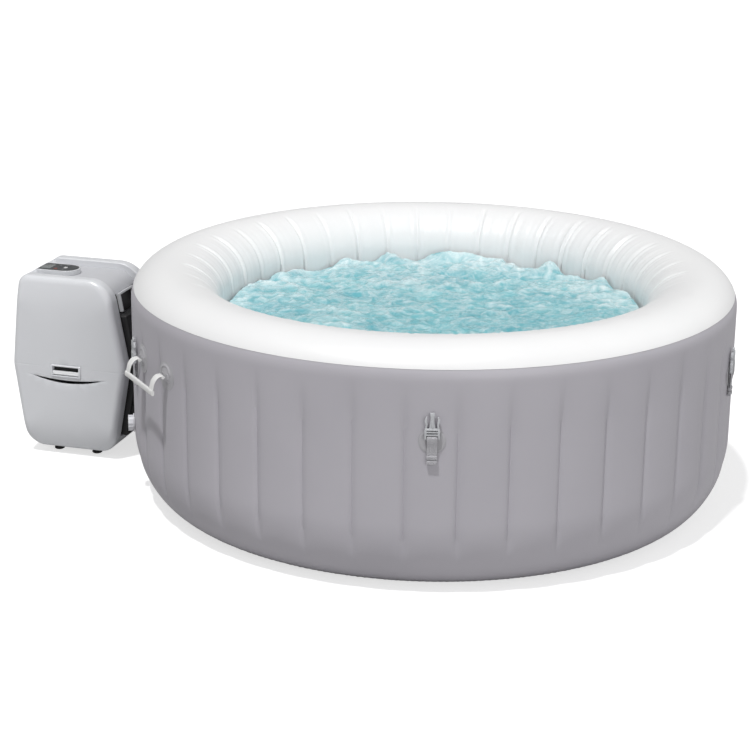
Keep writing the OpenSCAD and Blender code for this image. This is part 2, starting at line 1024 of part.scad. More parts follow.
// Places of the buttons on the panel: [along the pump, across it]
heater_spot = [panel_end + 56, -20];
filter_spot = [panel_end + 56, 20];
bubble_spot = [panel_end + 80, 0];
warmer_spot = [panel_end + 80, -22];
cooler_spot = [panel_end + 80, 22];
button_spots = [heater_spot, filter_spot, bubble_spot, warmer_spot, cooler_spot];

// D shape: straight at the outer end, round at the other
module panel_shape(inset) {
    r = panel_w / 2 - inset;
    round_x = panel_end + panel_l - panel_w / 2;
    union() {
        translate([panel_end + inset, -r])
        square([round_x - panel_end - inset, 2 * r]);
        translate([round_x, 0])
        circle(r = r);
    }
}

module control_panel() {
    color([0.2, 0.21, 0.22])
    in_pump()
    difference() {
        translate([0, 0, band_top_z])
        linear_extrude(panel_h)
        panel_shape(0);
        translate([0, 0, band_top_z - over])
        linear_extrude(panel_h - panel_skin + over)
        panel_shape(panel_skin);
        translate([window_x - 0.1, -window_w / 2 - 0.1, panel_top_z - window_t])
        cube([window_l + 0.2, window_w + 0.2, window_t + over]);
        for (b = button_spots)
            translate([b[0], b[1], band_top_z])
            cylinder(h = panel_h + over, r = button_r + 0.15);
    }
}

module display_window() {
    color([0.55, 0.6, 0.6])
    in_pump()
    translate([window_x, -window_w / 2, panel_top_z - window_t])
    cube([window_l, window_w, window_t]);
}

module button(b) {
    in_pump()
    translate([b[0], b[1], panel_top_z - 6])
    cylinder(h = 6 + button_proud, r = button_r);
}

module heater_button() {
    color([0.75, 0.3, 0.25])
    button(heater_spot);
}

module filter_button() {
    color([0.8, 0.8, 0.8])
    button(filter_spot);
}

module bubble_button() {
    color([0.8, 0.8, 0.8])
    button(bubble_spot);
}

module warmer_button() {
    color([0.8, 0.8, 0.8])
    button(warmer_spot);
}

module cooler_button() {
    color([0.8, 0.8, 0.8])
    button(cooler_spot);
}

// ---------------------------------------------------------------- inside the pump
volute_x0 = 60;
volute_x1 = 105;
volute_r = 46;
volute_t = 4;
motor_r = 38;
motor_l = 92;
shaft_r = 4;
shaft_in = 30;
heater_x = 84;
heater_z = 262;
heater_r = 26;
heater_half = 82;
blower_x = 0;
blower_z = 372;
blower_r = 60;
blower_half = 35;
blower_t = 3;
fan_shaft_r = 3;
// Sideways place, from the pump's middle, of the gaskets' pump-side faces
stub_x = pump_x - port_face_r - gasket_t;

// Pipe along X from x0 to the port's gasket, with the collar that the union nut holds
module stub(p, x0) {
    bar_x(x0, stub_x, p[2], p[0], p[1]);
    bar_x(stub_x - pump_collar_l, stub_x, p[2] + collar_add, p[0], p[1]);
}

module volute_space(grow) {
    bar_x(volute_x0 - grow, volute_x1 + grow, volute_r + grow, inlet_port[0], inlet_port[1]);
}

module heater_space(grow) {
    bar_y(-heater_half - grow, heater_half + grow, heater_r + grow, heater_x, heater_z);
}

module blower_space(grow) {
    bar_y(-blower_half - grow, blower_half + grow, blower_r + grow, blower_x, blower_z);
}

module internal_pipes() {
    rise_r = 14;
    bore = 3;
    color([0.3, 0.31, 0.33])
    in_pump() {
        difference() {
            stub(inlet_port, volute_x1 + gap);
            bar_x(0, far, inlet_port[2] - pipe_t, inlet_port[0], inlet_port[1]);
        }
        difference() {
            translate([heater_x, inlet_port[0], inlet_port[1]])
            cylinder(h = heater_z - inlet_port[1], r = rise_r);
            translate([heater_x, inlet_port[0], 0])
            cylinder(h = pump_h, r = rise_r - bore);
            heater_space(gap);
            volute_space(gap);
        }
        difference() {
            union() {
                translate([heater_x, outlet_port[0], outlet_port[1] - outlet_port[2]])
                cylinder(h = heater_z - outlet_port[1] + outlet_port[2], r = outlet_port[2]);
                stub(outlet_port, heater_x);
            }
            translate([heater_x, outlet_port[0], outlet_port[1] - outlet_port[2] + pipe_t])
            cylinder(h = pump_h, r = outlet_port[2] - pipe_t);
            bar_x(heater_x, far, outlet_port[2] - pipe_t, outlet_port[0], outlet_port[1]);
            heater_space(gap);
        }
        difference() {
            stub(air_port, blower_x);
            bar_x(blower_x - over, far, air_port[2] - pipe_t, air_port[0], air_port[1]);
            blower_space(gap);
        }
    }
}

module pump_volute() {
    color([0.22, 0.22, 0.24])
    in_pump()
    difference() {
        volute_space(0);
        bar_x(volute_x0 + volute_t, volute_x1 - volute_t, volute_r - volute_t,
            inlet_port[0], inlet_port[1]);
        bar_x(volute_x1 - volute_t - over, volute_x1 + over, inlet_port[2] - pipe_t,
            inlet_port[0], inlet_port[1]);
        bar_x(volute_x0 - over, volute_x0 + volute_t + over, shaft_r + run_c,
            inlet_port[0], inlet_port[1]);
        translate([heater_x, inlet_port[0], inlet_port[1]])
        cylinder(h = volute_r + over, r = 11);
    }
}

module pump_impeller() {
    blades = 6;
    hub_r = 10;
    r = volute_r - volute_t - 4;
    x0 = volute_x0 + volute_t + 4;
    x1 = volute_x1 - volute_t - 4;
    color([0.75, 0.75, 0.72])
    in_pump() {
        bar_x(volute_x0 - shaft_in, x0 + 2, shaft_r, inlet_port[0], inlet_port[1]);
        bar_x(x0, x0 + 4, r, inlet_port[0], inlet_port[1]);
        bar_x(x0 + 1, x1, hub_r, inlet_port[0], inlet_port[1]);
        for (k = [0 : blades - 1])
            translate([0, inlet_port[0], inlet_port[1]])
            rotate([(k + 0.5) * 360 / blades, 0, 0])
            translate([x0 + 2, -1, hub_r - 2])
            cube([x1 - x0 - 3, 2, r - hub_r]);
    }
}

module pump_motor() {
    color([0.35, 0.36, 0.38])
    in_pump()
    difference() {
        bar_x(volute_x0 - motor_l, volute_x0, motor_r, inlet_port[0], inlet_port[1]);
        bar_x(volute_x0 - shaft_in - 2, volute_x0 + over, shaft_r + run_c,
            inlet_port[0], inlet_port[1]);
    }
}

module water_heater() {
    color([0.7, 0.71, 0.72])
    in_pump()
    difference() {
        heater_space(0);
        bar_y(-heater_half + 3, heater_half - 3, heater_r - 3, heater_x, heater_z);
        translate([heater_x, inlet_port[0], heater_z - heater_r - over])
        cylinder(h = heater_r, r = 11);
        translate([heater_x, outlet_port[0], heater_z - heater_r - over])
        cylinder(h = heater_r, r = 16);
    }
}

// Scroll housing of the air blower with its motor can on the rear side
module blower_housing() {
    can_l = 38;
    color([0.24, 0.25, 0.27])
    in_pump() {
        difference() {
            blower_space(0);
            bar_y(-blower_half + blower_t, blower_half - blower_t, blower_r - blower_t,
                blower_x, blower_z);
            bar_y(blower_half - blower_t - over, blower_half + over, fan_shaft_r + run_c,
                blower_x, blower_z);
            bar_y(-blower_half - over, -blower_half + blower_t + over, 22, blower_x, blower_z);
            bar_x(blower_x, blower_x + blower_r + over, air_port[2] - pipe_t,
                air_port[0], air_port[1]);
        }
        difference() {
            bar_y(blower_half, blower_half + can_l, 24, blower_x, blower_z);
            bar_y(blower_half - over, blower_half + can_l - 8, fan_shaft_r + run_c,
                blower_x, blower_z);
        }
    }
}

module blower_fan() {
    blades = 12;
    r = blower_r - blower_t - 5;
    y0 = -blower_half + blower_t + 4;
    y1 = blower_half - blower_t - 4;
    color([0.2, 0.2, 0.21])
    in_pump() {
        bar_y(y1 - 3, blower_half + 28, fan_shaft_r, blower_x, blower_z);
        bar_y(y1 - 3, y1, r, blower_x, blower_z);
        for (k = [0 : blades - 1])
            translate([blower_x, 0, blower_z])
            rotate([0, k * 360 / blades, 0])
            translate([r - 14, y0, -1])
            cube([13, y1 - y0, 2]);
    }
}

// Box of the electronics between the blower and the outer end of the pump
module control_box() {
    box_x = panel_end + 10;
    box_w = 120;
    box_h = 66;
    color([0.3, 0.3, 0.32])
    in_pump()
    translate([box_x, -box_w / 2, band_top_z - 26 - box_h])
    cube([blower_x - blower_r - 5 - box_x, box_w, box_h]);
}

// Gland for the mains lead in the rear cover
module cable_gland() {
    color([0.08, 0.08, 0.08])
    in_pump()
    difference() {
        union() {
            bar_y(half_d - 12, half_d + 0.2, gland_r, gland_x, gland_z);
            bar_y(half_d + 0.2, half_d + 5, gland_r + 5, gland_x, gland_z);
            bar_y(half_d + 5, half_d + 16, gland_r + 1, gland_x, gland_z);
        }
        bar_y(half_d - 20, half_d + 20, 4, gland_x, gland_z);
    }
}

outer_wall();
top_rim();
inner_wall();
floor_liner();
base_sheet();
chamber_webs();
bubble_ring();
inlet_wall_pipe();
outlet_wall_pipe();
air_wall_pipe();
port_gaskets();
inlet_union_nut();
outlet_union_nut();
air_union_nut();
filter_housing();
filter_cartridge();
filter_cap();
drain_valve_body();
drain_cap();
inflation_valve_body();
inflation_cap();
handle_anchors();
front_handle();
rear_handle();
buckle_straps();
front_buckle();
right_buckle();
rear_right_buckle();
rear_left_buckle();
left_buckle();
front_upper_cover();
front_lower_cover();
rear_upper_cover();
rear_lower_cover();
top_band();
tub_side_panel();
grip_frame();
base_tray();
rubber_feet();
front_latch_frame();
front_latch_lever();
rear_latch_frame();
rear_latch_lever();
control_panel();
display_window();
heater_button();
filter_button();
bubble_button();
warmer_button();
cooler_button();
internal_pipes();
pump_volute();
pump_impeller();
pump_motor();
water_heater();
blower_housing();
blower_fan();
control_box();
cable_gland();
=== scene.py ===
"""Visible model of an inflatable hot tub and the heater pump that stands beside it.

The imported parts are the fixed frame: each piece made here takes its place from them, and
rides on one of their bodies. Lengths are in metres, +Z is up, the tub's axis is the Z axis
and the pump stands along -X.
"""

from __future__ import annotations

import json
import logging
import math
import sys
from collections.abc import Callable, Iterable, Sequence
from dataclasses import dataclass, field
from enum import Enum

import bpy
import numpy as np
from mathutils import Matrix, Vector, noise

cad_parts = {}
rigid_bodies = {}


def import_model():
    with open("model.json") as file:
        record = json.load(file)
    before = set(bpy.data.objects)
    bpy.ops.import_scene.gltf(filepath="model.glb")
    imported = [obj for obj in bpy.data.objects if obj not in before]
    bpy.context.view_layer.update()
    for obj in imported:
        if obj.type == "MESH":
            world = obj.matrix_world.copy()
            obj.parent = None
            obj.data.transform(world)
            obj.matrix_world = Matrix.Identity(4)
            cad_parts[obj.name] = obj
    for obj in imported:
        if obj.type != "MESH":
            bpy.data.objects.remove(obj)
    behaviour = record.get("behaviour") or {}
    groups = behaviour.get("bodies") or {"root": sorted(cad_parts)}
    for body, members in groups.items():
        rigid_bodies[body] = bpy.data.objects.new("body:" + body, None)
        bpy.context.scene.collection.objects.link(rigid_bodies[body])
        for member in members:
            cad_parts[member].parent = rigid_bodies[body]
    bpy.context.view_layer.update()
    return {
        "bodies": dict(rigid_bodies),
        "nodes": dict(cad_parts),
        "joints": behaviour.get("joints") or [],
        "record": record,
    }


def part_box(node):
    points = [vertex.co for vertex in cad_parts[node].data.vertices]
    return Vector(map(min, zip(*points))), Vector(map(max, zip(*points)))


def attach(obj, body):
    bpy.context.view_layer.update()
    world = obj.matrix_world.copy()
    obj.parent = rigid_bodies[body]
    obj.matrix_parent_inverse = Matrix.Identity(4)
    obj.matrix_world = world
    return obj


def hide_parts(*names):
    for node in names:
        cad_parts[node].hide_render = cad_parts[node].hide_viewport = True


LOG = logging.getLogger("hot_tub")
FULL_TURN = 2 * math.pi
MERGE = 2e-5


class Side(Enum):
    """The two broad faces of the pump."""

    FRONT = -1
    REAR = 1

    @property
    def word(self) -> str:
        """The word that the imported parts' names use for this side."""
        return self.name.lower()


class Half(Enum):
    """The covers above and below the pump's seam."""

    UPPER = 1
    LOWER = -1

    @property
    def word(self) -> str:
        """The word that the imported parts' names use for this half."""
        return self.name.lower()


def smooth_step(low: float, high: float, value: np.ndarray | float) -> np.ndarray:
    """Rises smoothly from 0 at low to 1 at high.

    Args:
        low: Value where the rise starts.
        high: Value where the rise ends.
        value: Where to read the rise.

    Returns:
        The share of the rise, from 0 to 1.
    """
    t = np.clip((np.asarray(value, float) - low) / (high - low), 0, 1)
    return t * t * (3 - 2 * t)


def bump(centre: float, half: float, value: np.ndarray | float) -> np.ndarray:
    """A smooth hump that is 1 at its centre and fades as a bell curve.

    Args:
        centre: Place of the hump's top.
        half: Distance over which it falls to about a third.
        value: Where to read it.

    Returns:
        The hump's height.
    """
    return np.exp(-(((np.asarray(value, float) - centre) / half) ** 2))


def wrapped(angle: np.ndarray, around: float) -> np.ndarray:
    """Angle from a direction, brought between minus and plus half a turn."""
    return (angle - around + math.pi) % FULL_TURN - math.pi


class Bench:
    """Modelling steps that every sub-assembly uses, each done with Blender's operators."""

    @staticmethod
    def clear() -> None:
        """Leaves edit mode and deselects everything."""
        if bpy.context.object and bpy.context.object.mode != "OBJECT":
            bpy.ops.object.mode_set(mode="OBJECT")
        bpy.ops.object.select_all(action="DESELECT")

    @staticmethod
    def pick(obj: bpy.types.Object) -> None:
        """Selects one object alone and makes it active."""
        Bench.clear()
        obj.select_set(True)
        bpy.context.view_layer.objects.active = obj

    @staticmethod
    def named(name: str) -> bpy.types.Object:
        """Names the object that an operator has just added, and its mesh."""
        obj = bpy.context.object
        obj.name = name
        obj.data.name = name
        return obj

    @staticmethod
    def settle(obj: bpy.types.Object) -> None:
        """Puts the object's place, turn and scale into its mesh."""
        Bench.pick(obj)
        bpy.ops.object.transform_apply(location=True, rotation=True, scale=True)

    @staticmethod
    def points(obj: bpy.types.Object) -> np.ndarray:
        """The mesh's points as rows of x, y and z."""
        flat = np.empty(len(obj.data.vertices) * 3, np.float32)
        obj.data.vertices.foreach_get("co", flat)
        return flat.reshape(-1, 3).astype(float)

    @staticmethod
    def place_points(obj: bpy.types.Object, points: np.ndarray) -> None:
        """Moves the mesh's points to new places."""
        obj.data.vertices.foreach_set("co", points.astype(np.float32).ravel())
        obj.data.update()

    @staticmethod
    def mend(obj: bpy.types.Object, outward: bool = True) -> None:
        """Merges doubled points and, if asked, turns the faces outwards."""
        Bench.pick(obj)
        bpy.ops.object.mode_set(mode="EDIT")
        bpy.ops.mesh.select_all(action="SELECT")
        bpy.ops.mesh.remove_doubles(threshold=MERGE)
        bpy.ops.mesh.dissolve_degenerate(threshold=MERGE / 4)
        if outward:
            bpy.ops.mesh.select_all(action="SELECT")
            bpy.ops.mesh.normals_make_consistent(inside=False)
        bpy.ops.object.mode_set(mode="OBJECT")

    @staticmethod
    def close_holes(obj: bpy.types.Object) -> None:
        """Fills every open rim with a flat face and turns the faces outwards."""
        Bench.pick(obj)
        bpy.ops.object.mode_set(mode="EDIT")
        bpy.ops.mesh.select_all(action="SELECT")
        bpy.ops.mesh.fill_holes(sides=0)
        bpy.ops.mesh.select_all(action="SELECT")
        bpy.ops.mesh.normals_make_consistent(inside=False)
        bpy.ops.object.mode_set(mode="OBJECT")

    @staticmethod
    def surface(
        name: str,
        across: int,
        along: int,
        rule: Callable[[np.ndarray, np.ndarray], np.ndarray],
        outward: bool = True,
    ) -> bpy.types.Object:
        """Adds a grid and lays it over a curved surface.

        Args:
            name: Name of the piece.
            across: Steps of the first parameter.
            along: Steps of the second parameter.
            rule: Gives a place for each pair of parameters, which run from 0 to 1.
            outward: Whether the faces are turned outwards afterwards.

        Returns:
            The new piece.
        """
        Bench.clear()
        bpy.ops.mesh.primitive_grid_add(
            x_subdivisions=across, y_subdivisions=along, size=2, location=(0, 0, 0)
        )
        obj = Bench.named(name)
        flat = Bench.points(obj)
        Bench.place_points(obj, rule((flat[:, 0] + 1) / 2, (flat[:, 1] + 1) / 2))
        Bench.mend(obj, outward)
        return obj

    @staticmethod
    def tube(
        name: str,
        path: Sequence[Sequence[float]],
        section: Callable[[float, float], tuple[float, float]],
        sides: int,
        side_axis: Sequence[float],
    ) -> bpy.types.Object:
        """Sweeps a closed section along a path and closes both ends.

        Args:
            name: Name of the piece.
            path: Points of the path.
            section: For a share of the path and a share of the turn, the section's
                distance along the side axis and square to it.
            sides: Points round the section.
            side_axis: Direction that the section's first distance is measured along.

        Returns:
            The swept piece.
        """
        line = np.array(path, float)
        steps = len(line) - 1
        side = np.array(side_axis, float)

        def rule(u: np.ndarray, v: np.ndarray) -> np.ndarray:
            """Place of each point on the swept surface."""
            spot = np.rint(u * steps).astype(int)
            ahead = line[np.minimum(spot + 1, steps)] - line[np.maximum(spot - 1, 0)]
            ahead /= np.linalg.norm(ahead, axis=1)[:, None]
            flat = side - (ahead @ side)[:, None] * ahead
            flat /= np.linalg.norm(flat, axis=1)[:, None]
            up = np.cross(ahead, flat)
            sizes = np.array([section(a, b % 1.0) for a, b in zip(u, v)])
            return line[spot] + flat * sizes[:, :1] + up * sizes[:, 1:]

        obj = Bench.surface(name, steps, sides, rule)
        Bench.close_holes(obj)
        return obj

    @staticmethod
    def block(
        name: str,
        low: Sequence[float],
        high: Sequence[float],
        radius: float = 0.001,
        segments: int = 3,
    ) -> bpy.types.Object:
        """Adds a box between two corners and rounds its edges.

        Args:
            name: Name of the piece.
            low: Lowest corner.
            high: Highest corner.
            radius: Radius of the rounded edges, or 0 for sharp ones.
            segments: Steps in each rounding.

        Returns:
            The new piece.
        """
        a, b = Vector(low), Vector(high)
        Bench.clear()
        bpy.ops.mesh.primitive_cube_add(size=1, location=(a + b) / 2, scale=b - a)
        obj = Bench.named(name)
        Bench.settle(obj)
        if radius:
            Bench.soften(obj, radius, segments)
        return obj

    @staticmethod
    def plate(
        name: str,
        outline: Sequence[Sequence[float]],
        low: float,
        high: float,
        radius: float = 0.0,
        segments: int = 2,
    ) -> bpy.types.Object:
        """Extrudes a flat outline upwards and rounds its edges.

        Args:
            name: Name of the piece.
            outline: Points of the outline, anticlockwise from above.
            low: Height of its lower face.
            high: Height of its upper face.
            radius: Radius of the rounded edges.
            segments: Steps in each rounding.

        Returns:
            The new piece, standing on the XY plane's directions.
        """
        Bench.clear()
        bpy.ops.mesh.primitive_circle_add(vertices=len(outline), fill_type="NGON")
        obj = Bench.named(name)
        flat = np.array([[x, y, low] for x, y in outline], float)
        Bench.place_points(obj, flat)
        bpy.ops.object.mode_set(mode="EDIT")
        bpy.ops.mesh.select_all(action="SELECT")
        bpy.ops.mesh.extrude_region_move(TRANSFORM_OT_translate={"value": (0, 0, high - low)})
        bpy.ops.mesh.select_all(action="SELECT")
        bpy.ops.mesh.normals_make_consistent(inside=False)
        bpy.ops.object.mode_set(mode="OBJECT")
        if radius:
            Bench.soften(obj, radius, segments)
        return obj

    @staticmethod
    def modify(obj: bpy.types.Object, kind: str, **settings: object) -> None:
        """Adds a modifier, sets it and applies it."""
        Bench.pick(obj)
        modifier = obj.modifiers.new(kind.title(), kind)
        for key, value in settings.items():
            setattr(modifier, key, value)
        bpy.ops.object.modifier_apply(modifier=modifier.name)

    @staticmethod
    def soften(obj: bpy.types.Object, radius: float, segments: int = 2) -> None:
        """Rounds the edges that turn by more than about 35 degrees."""
        Bench.modify(
            obj,
            "BEVEL",
            width=radius,
            segments=segments,
            limit_method="ANGLE",
            angle_limit=math.radians(35),
            use_clamp_overlap=True,
        )

    @staticmethod
    def thicken(obj: bpy.types.Object, depth: float) -> None:
        """Gives an open skin its thickness, on the side away from its faces."""
        Bench.modify(obj, "SOLIDIFY", thickness=depth, offset=-1, use_even_offset=True)

    @staticmethod
    def cut(obj: bpy.types.Object, cutter: bpy.types.Object) -> None:
        """Takes a cutter's volume away from a piece and removes the cutter."""
        Bench.modify(obj, "BOOLEAN", operation="DIFFERENCE", solver="EXACT", object=cutter)
        bpy.data.objects.remove(cutter, do_unlink=True)

    @staticmethod
    def weld(name: str, pieces: Iterable[bpy.types.Object]) -> bpy.types.Object:
        """Joins several pieces of one moulding or one sewn part into one object."""
        parts = list(pieces)
        Bench.pick(parts[0])
        for part in parts[1:]:
            part.select_set(True)
        if len(parts) > 1:
            bpy.ops.object.join()
        return Bench.named(name)

    @staticmethod
    def carry(obj: bpy.types.Object, matrix: Matrix) -> bpy.types.Object:
        """Moves a piece's mesh by a matrix."""
        obj.data.transform(matrix)
        obj.data.update()
        return obj

    @staticmethod
    def copy(obj: bpy.types.Object, name: str, matrix: Matrix) -> bpy.types.Object:
        """Copies a piece with its own mesh, moved by a matrix."""
        twin = obj.copy()
        twin.data = obj.data.copy()
        twin.name = twin.data.name = name
        bpy.context.scene.collection.objects.link(twin)
        twin.data.transform(matrix)
        if matrix.determinant() < 0:
            twin.data.flip_normals()
        return twin

    @staticmethod
    def shade(obj: bpy.types.Object, degrees: float = 35) -> None:
        """Shades smoothly wherever the surface turns by less than an angle."""
        Bench.pick(obj)
        bpy.ops.object.shade_smooth_by_angle(angle=math.radians(degrees))


# ------------------------------------------------------------------ effects
class Effects:
    """Shader node groups that several finishes use, each built once."""

    @staticmethod
    def _group(
        name: str, inputs: dict[str, tuple[str, object]], outputs: dict[str, str]
    ) -> bpy.types.NodeTree:
        """Starts a node group with named sockets.

        Args:
            name: Name of the group.
            inputs: Socket type and default of each input.
            outputs: Socket type of each output.

        Returns:
            The group, with its input and output nodes in place.
        """
        group = bpy.data.node_groups.new(name, "ShaderNodeTree")
        for key, (kind, default) in inputs.items():
            socket = group.interface.new_socket(name=key, in_out="INPUT", socket_type=kind)
            socket.default_value = default
        for key, kind in outputs.items():
            group.interface.new_socket(name=key, in_out="OUTPUT", socket_type=kind)
        group.nodes.new("NodeGroupInput")
        group.nodes.new("NodeGroupOutput")
        return group

    @staticmethod
    def _ends(group: bpy.types.NodeTree) -> tuple[bpy.types.Node, bpy.types.Node]:
        """The input and output nodes of a group."""
        return group.nodes["Group Input"], group.nodes["Group Output"]

    @staticmethod
    def _noise(
        group: bpy.types.NodeTree, detail: float, rough: float = 0.5
    ) -> bpy.types.Node:
        """A noise texture on Object coordinates whose scale is the group's Scale."""
        start, _ = Effects._ends(group)
        place = group.nodes.new("ShaderNodeTexCoord")
        texture = group.nodes.new("ShaderNodeTexNoise")
        texture.inputs["Detail"].default_value = detail
        texture.inputs["Roughness"].default_value = rough
        group.links.new(place.outputs["Object"], texture.inputs["Vector"])
        group.links.new(start.outputs["Scale"], texture.inputs["Scale"])
        return texture

    @staticmethod
    def mottle() -> bpy.types.NodeTree:
        """Slow variation between two tints of one colour."""
        found = bpy.data.node_groups.get("Mottle")
        if found:
            return found
        group = Effects._group(
            "Mottle",
            {
                "Tint": ("NodeSocketColor", (0.5, 0.5, 0.5, 1)),
                "Second Tint": ("NodeSocketColor", (0.4, 0.4, 0.4, 1)),
                "Scale": ("NodeSocketFloat", 3.0),
            },
            {"Color": "NodeSocketColor", "Mask": "NodeSocketFloat"},
        )
        start, end = Effects._ends(group)
        texture = Effects._noise(group, 4.0, 0.55)
        spread = group.nodes.new("ShaderNodeMapRange")
        spread.inputs["From Min"].default_value = 0.32
        spread.inputs["From Max"].default_value = 0.68
        mix = group.nodes.new("ShaderNodeMix")
        mix.data_type = "RGBA"
        group.links.new(texture.outputs["Fac"], spread.inputs["Value"])
        group.links.new(spread.outputs["Result"], mix.inputs["Factor"])
        group.links.new(start.outputs["Tint"], mix.inputs["A"])
        group.links.new(start.outputs["Second Tint"], mix.inputs["B"])
        group.links.new(mix.outputs["Result"], end.inputs["Color"])
        group.links.new(spread.outputs["Result"], end.inputs["Mask"])
        return group

    @staticmethod
    def grain() -> bpy.types.NodeTree:
        """Fine moulded or calendered grain as a height."""
        found = bpy.data.node_groups.get("Grain")
        if found:
            return found
        group = Effects._group(
            "Grain",
            {"Scale": ("NodeSocketFloat", 900.0), "Ripple": ("NodeSocketFloat", 0.3)},
            {"Height": "NodeSocketFloat", "Mask": "NodeSocketFloat"},
        )
        start, end = Effects._ends(group)
        fine = Effects._noise(group, 2.0, 0.6)
        slow = Effects._noise(group, 1.0, 0.5)
        slower = group.nodes.new("ShaderNodeMath")
        slower.operation = "MULTIPLY"
        slower.inputs[1].default_value = 0.02
        group.links.new(start.outputs["Scale"], slower.inputs[0])
        group.links.new(slower.outputs[0], slow.inputs["Scale"])
        swell = group.nodes.new("ShaderNodeMath")
        swell.operation = "MULTIPLY_ADD"
        group.links.new(slow.outputs["Fac"], swell.inputs[0])
        group.links.new(start.outputs["Ripple"], swell.inputs[1])
        group.links.new(fine.outputs["Fac"], swell.inputs[2])
        group.links.new(swell.outputs[0], end.inputs["Height"])
        group.links.new(fine.outputs["Fac"], end.inputs["Mask"])
        return group

    @staticmethod
    def weave() -> bpy.types.NodeTree:
        """Crossed threads on the piece's own UV map: a height and a colour mask."""
        found = bpy.data.node_groups.get("Weave")
        if found:
            return found
        group = Effects._group(
            "Weave",
            {"Scale": ("NodeSocketFloat", 500.0)},
            {"Height": "NodeSocketFloat", "Mask": "NodeSocketFloat"},
        )
        start, end = Effects._ends(group)
        place = group.nodes.new("ShaderNodeUVMap")
        waves = []
        for direction in ("X", "Y"):
            wave = group.nodes.new("ShaderNodeTexWave")
            wave.wave_type = "BANDS"
            wave.bands_direction = direction
            wave.inputs["Distortion"].default_value = 0.6
            wave.inputs["Detail"].default_value = 1.0
            group.links.new(place.outputs["UV"], wave.inputs["Vector"])
            group.links.new(start.outputs["Scale"], wave.inputs["Scale"])
            waves.append(wave)
        both = group.nodes.new("ShaderNodeMath")
        both.operation = "MULTIPLY"
        group.links.new(waves[0].outputs["Fac"], both.inputs[0])
        group.links.new(waves[1].outputs["Fac"], both.inputs[1])
        group.links.new(both.outputs[0], end.inputs["Height"])
        group.links.new(both.outputs[0], end.inputs["Mask"])
        return group


@dataclass(frozen=True)
class Finish:
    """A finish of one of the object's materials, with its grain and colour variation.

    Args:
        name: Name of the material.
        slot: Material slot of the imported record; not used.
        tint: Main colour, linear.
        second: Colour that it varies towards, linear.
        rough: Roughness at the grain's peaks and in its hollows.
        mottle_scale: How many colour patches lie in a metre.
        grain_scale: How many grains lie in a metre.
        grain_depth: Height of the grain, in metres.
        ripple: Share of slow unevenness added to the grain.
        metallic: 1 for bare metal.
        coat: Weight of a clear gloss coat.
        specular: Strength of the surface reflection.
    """

    name: str
    slot: str
    tint: tuple[float, float, float]
    second: tuple[float, float, float]
    rough: tuple[float, float] = (0.42, 0.5)
    mottle_scale: float = 4.0
    grain_scale: float = 900.0
    grain_depth: float = 0.00004
    ripple: float = 0.3
    metallic: float = 0.0
    coat: float = 0.0
    specular: float = 0.5

    def build(self) -> bpy.types.Material:
        """Builds the material once and returns it."""
        found = bpy.data.materials.get(self.name)
        if found:
            return found
        material = bpy.data.materials.new(self.name)
        material.use_nodes = True
        tree = material.node_tree
        shader = tree.nodes["Principled BSDF"]
        shader.inputs["Metallic"].default_value = self.metallic
        shader.inputs["Coat Weight"].default_value = self.coat
        shader.inputs["Coat Roughness"].default_value = 0.12
        shader.inputs["Specular IOR Level"].default_value = self.specular
        self.colour(tree, shader)
        self.relief(tree, shader)
        material.diffuse_color = (*self.tint, 1)
        return material

    def colour(self, tree: bpy.types.NodeTree, shader: bpy.types.Node) -> None:
        """Feeds the shader's colour from the mottle group."""
        mottle = self.place(tree, Effects.mottle())
        mottle.inputs["Tint"].default_value = (*self.tint, 1)
        mottle.inputs["Second Tint"].default_value = (*self.second, 1)
        mottle.inputs["Scale"].default_value = self.mottle_scale
        tree.links.new(mottle.outputs["Color"], shader.inputs["Base Color"])

    def relief(self, tree: bpy.types.NodeTree, shader: bpy.types.Node) -> None:
        """Feeds the shader's roughness and normal from the grain group."""
        grain = self.place(tree, Effects.grain())
        grain.inputs["Scale"].default_value = self.grain_scale
        grain.inputs["Ripple"].default_value = self.ripple
        self.lay(tree, shader, grain)

    def lay(
        self, tree: bpy.types.NodeTree, shader: bpy.types.Node, effect: bpy.types.Node
    ) -> None:
        """Turns an effect's height and mask into normal and roughness."""
        level = tree.nodes.new("ShaderNodeMapRange")
        level.inputs["To Min"].default_value = self.rough[0]
        level.inputs["To Max"].default_value = self.rough[1]
        relief = tree.nodes.new("ShaderNodeBump")
        relief.inputs["Distance"].default_value = self.grain_depth
        tree.links.new(effect.outputs["Mask"], level.inputs["Value"])
        tree.links.new(level.outputs["Result"], shader.inputs["Roughness"])
        tree.links.new(effect.outputs["Height"], relief.inputs["Height"])
        tree.links.new(relief.outputs["Normal"], shader.inputs["Normal"])

    @staticmethod
    def place(tree: bpy.types.NodeTree, group: bpy.types.NodeTree) -> bpy.types.Node:
        """Puts a node group into a material."""
        node = tree.nodes.new("ShaderNodeGroup")
        node.node_tree = group
        return node


@dataclass(frozen=True)
class WovenFinish(Finish):
    """Woven webbing or a calendered patch with a cloth backing that shows through."""

    threads: float = 60.0

    def relief(self, tree: bpy.types.NodeTree, shader: bpy.types.Node) -> None:
        """Feeds the shader's roughness and normal from the weave group."""
        weave = self.place(tree, Effects.weave())
        weave.inputs["Scale"].default_value = self.threads
        self.lay(tree, shader, weave)


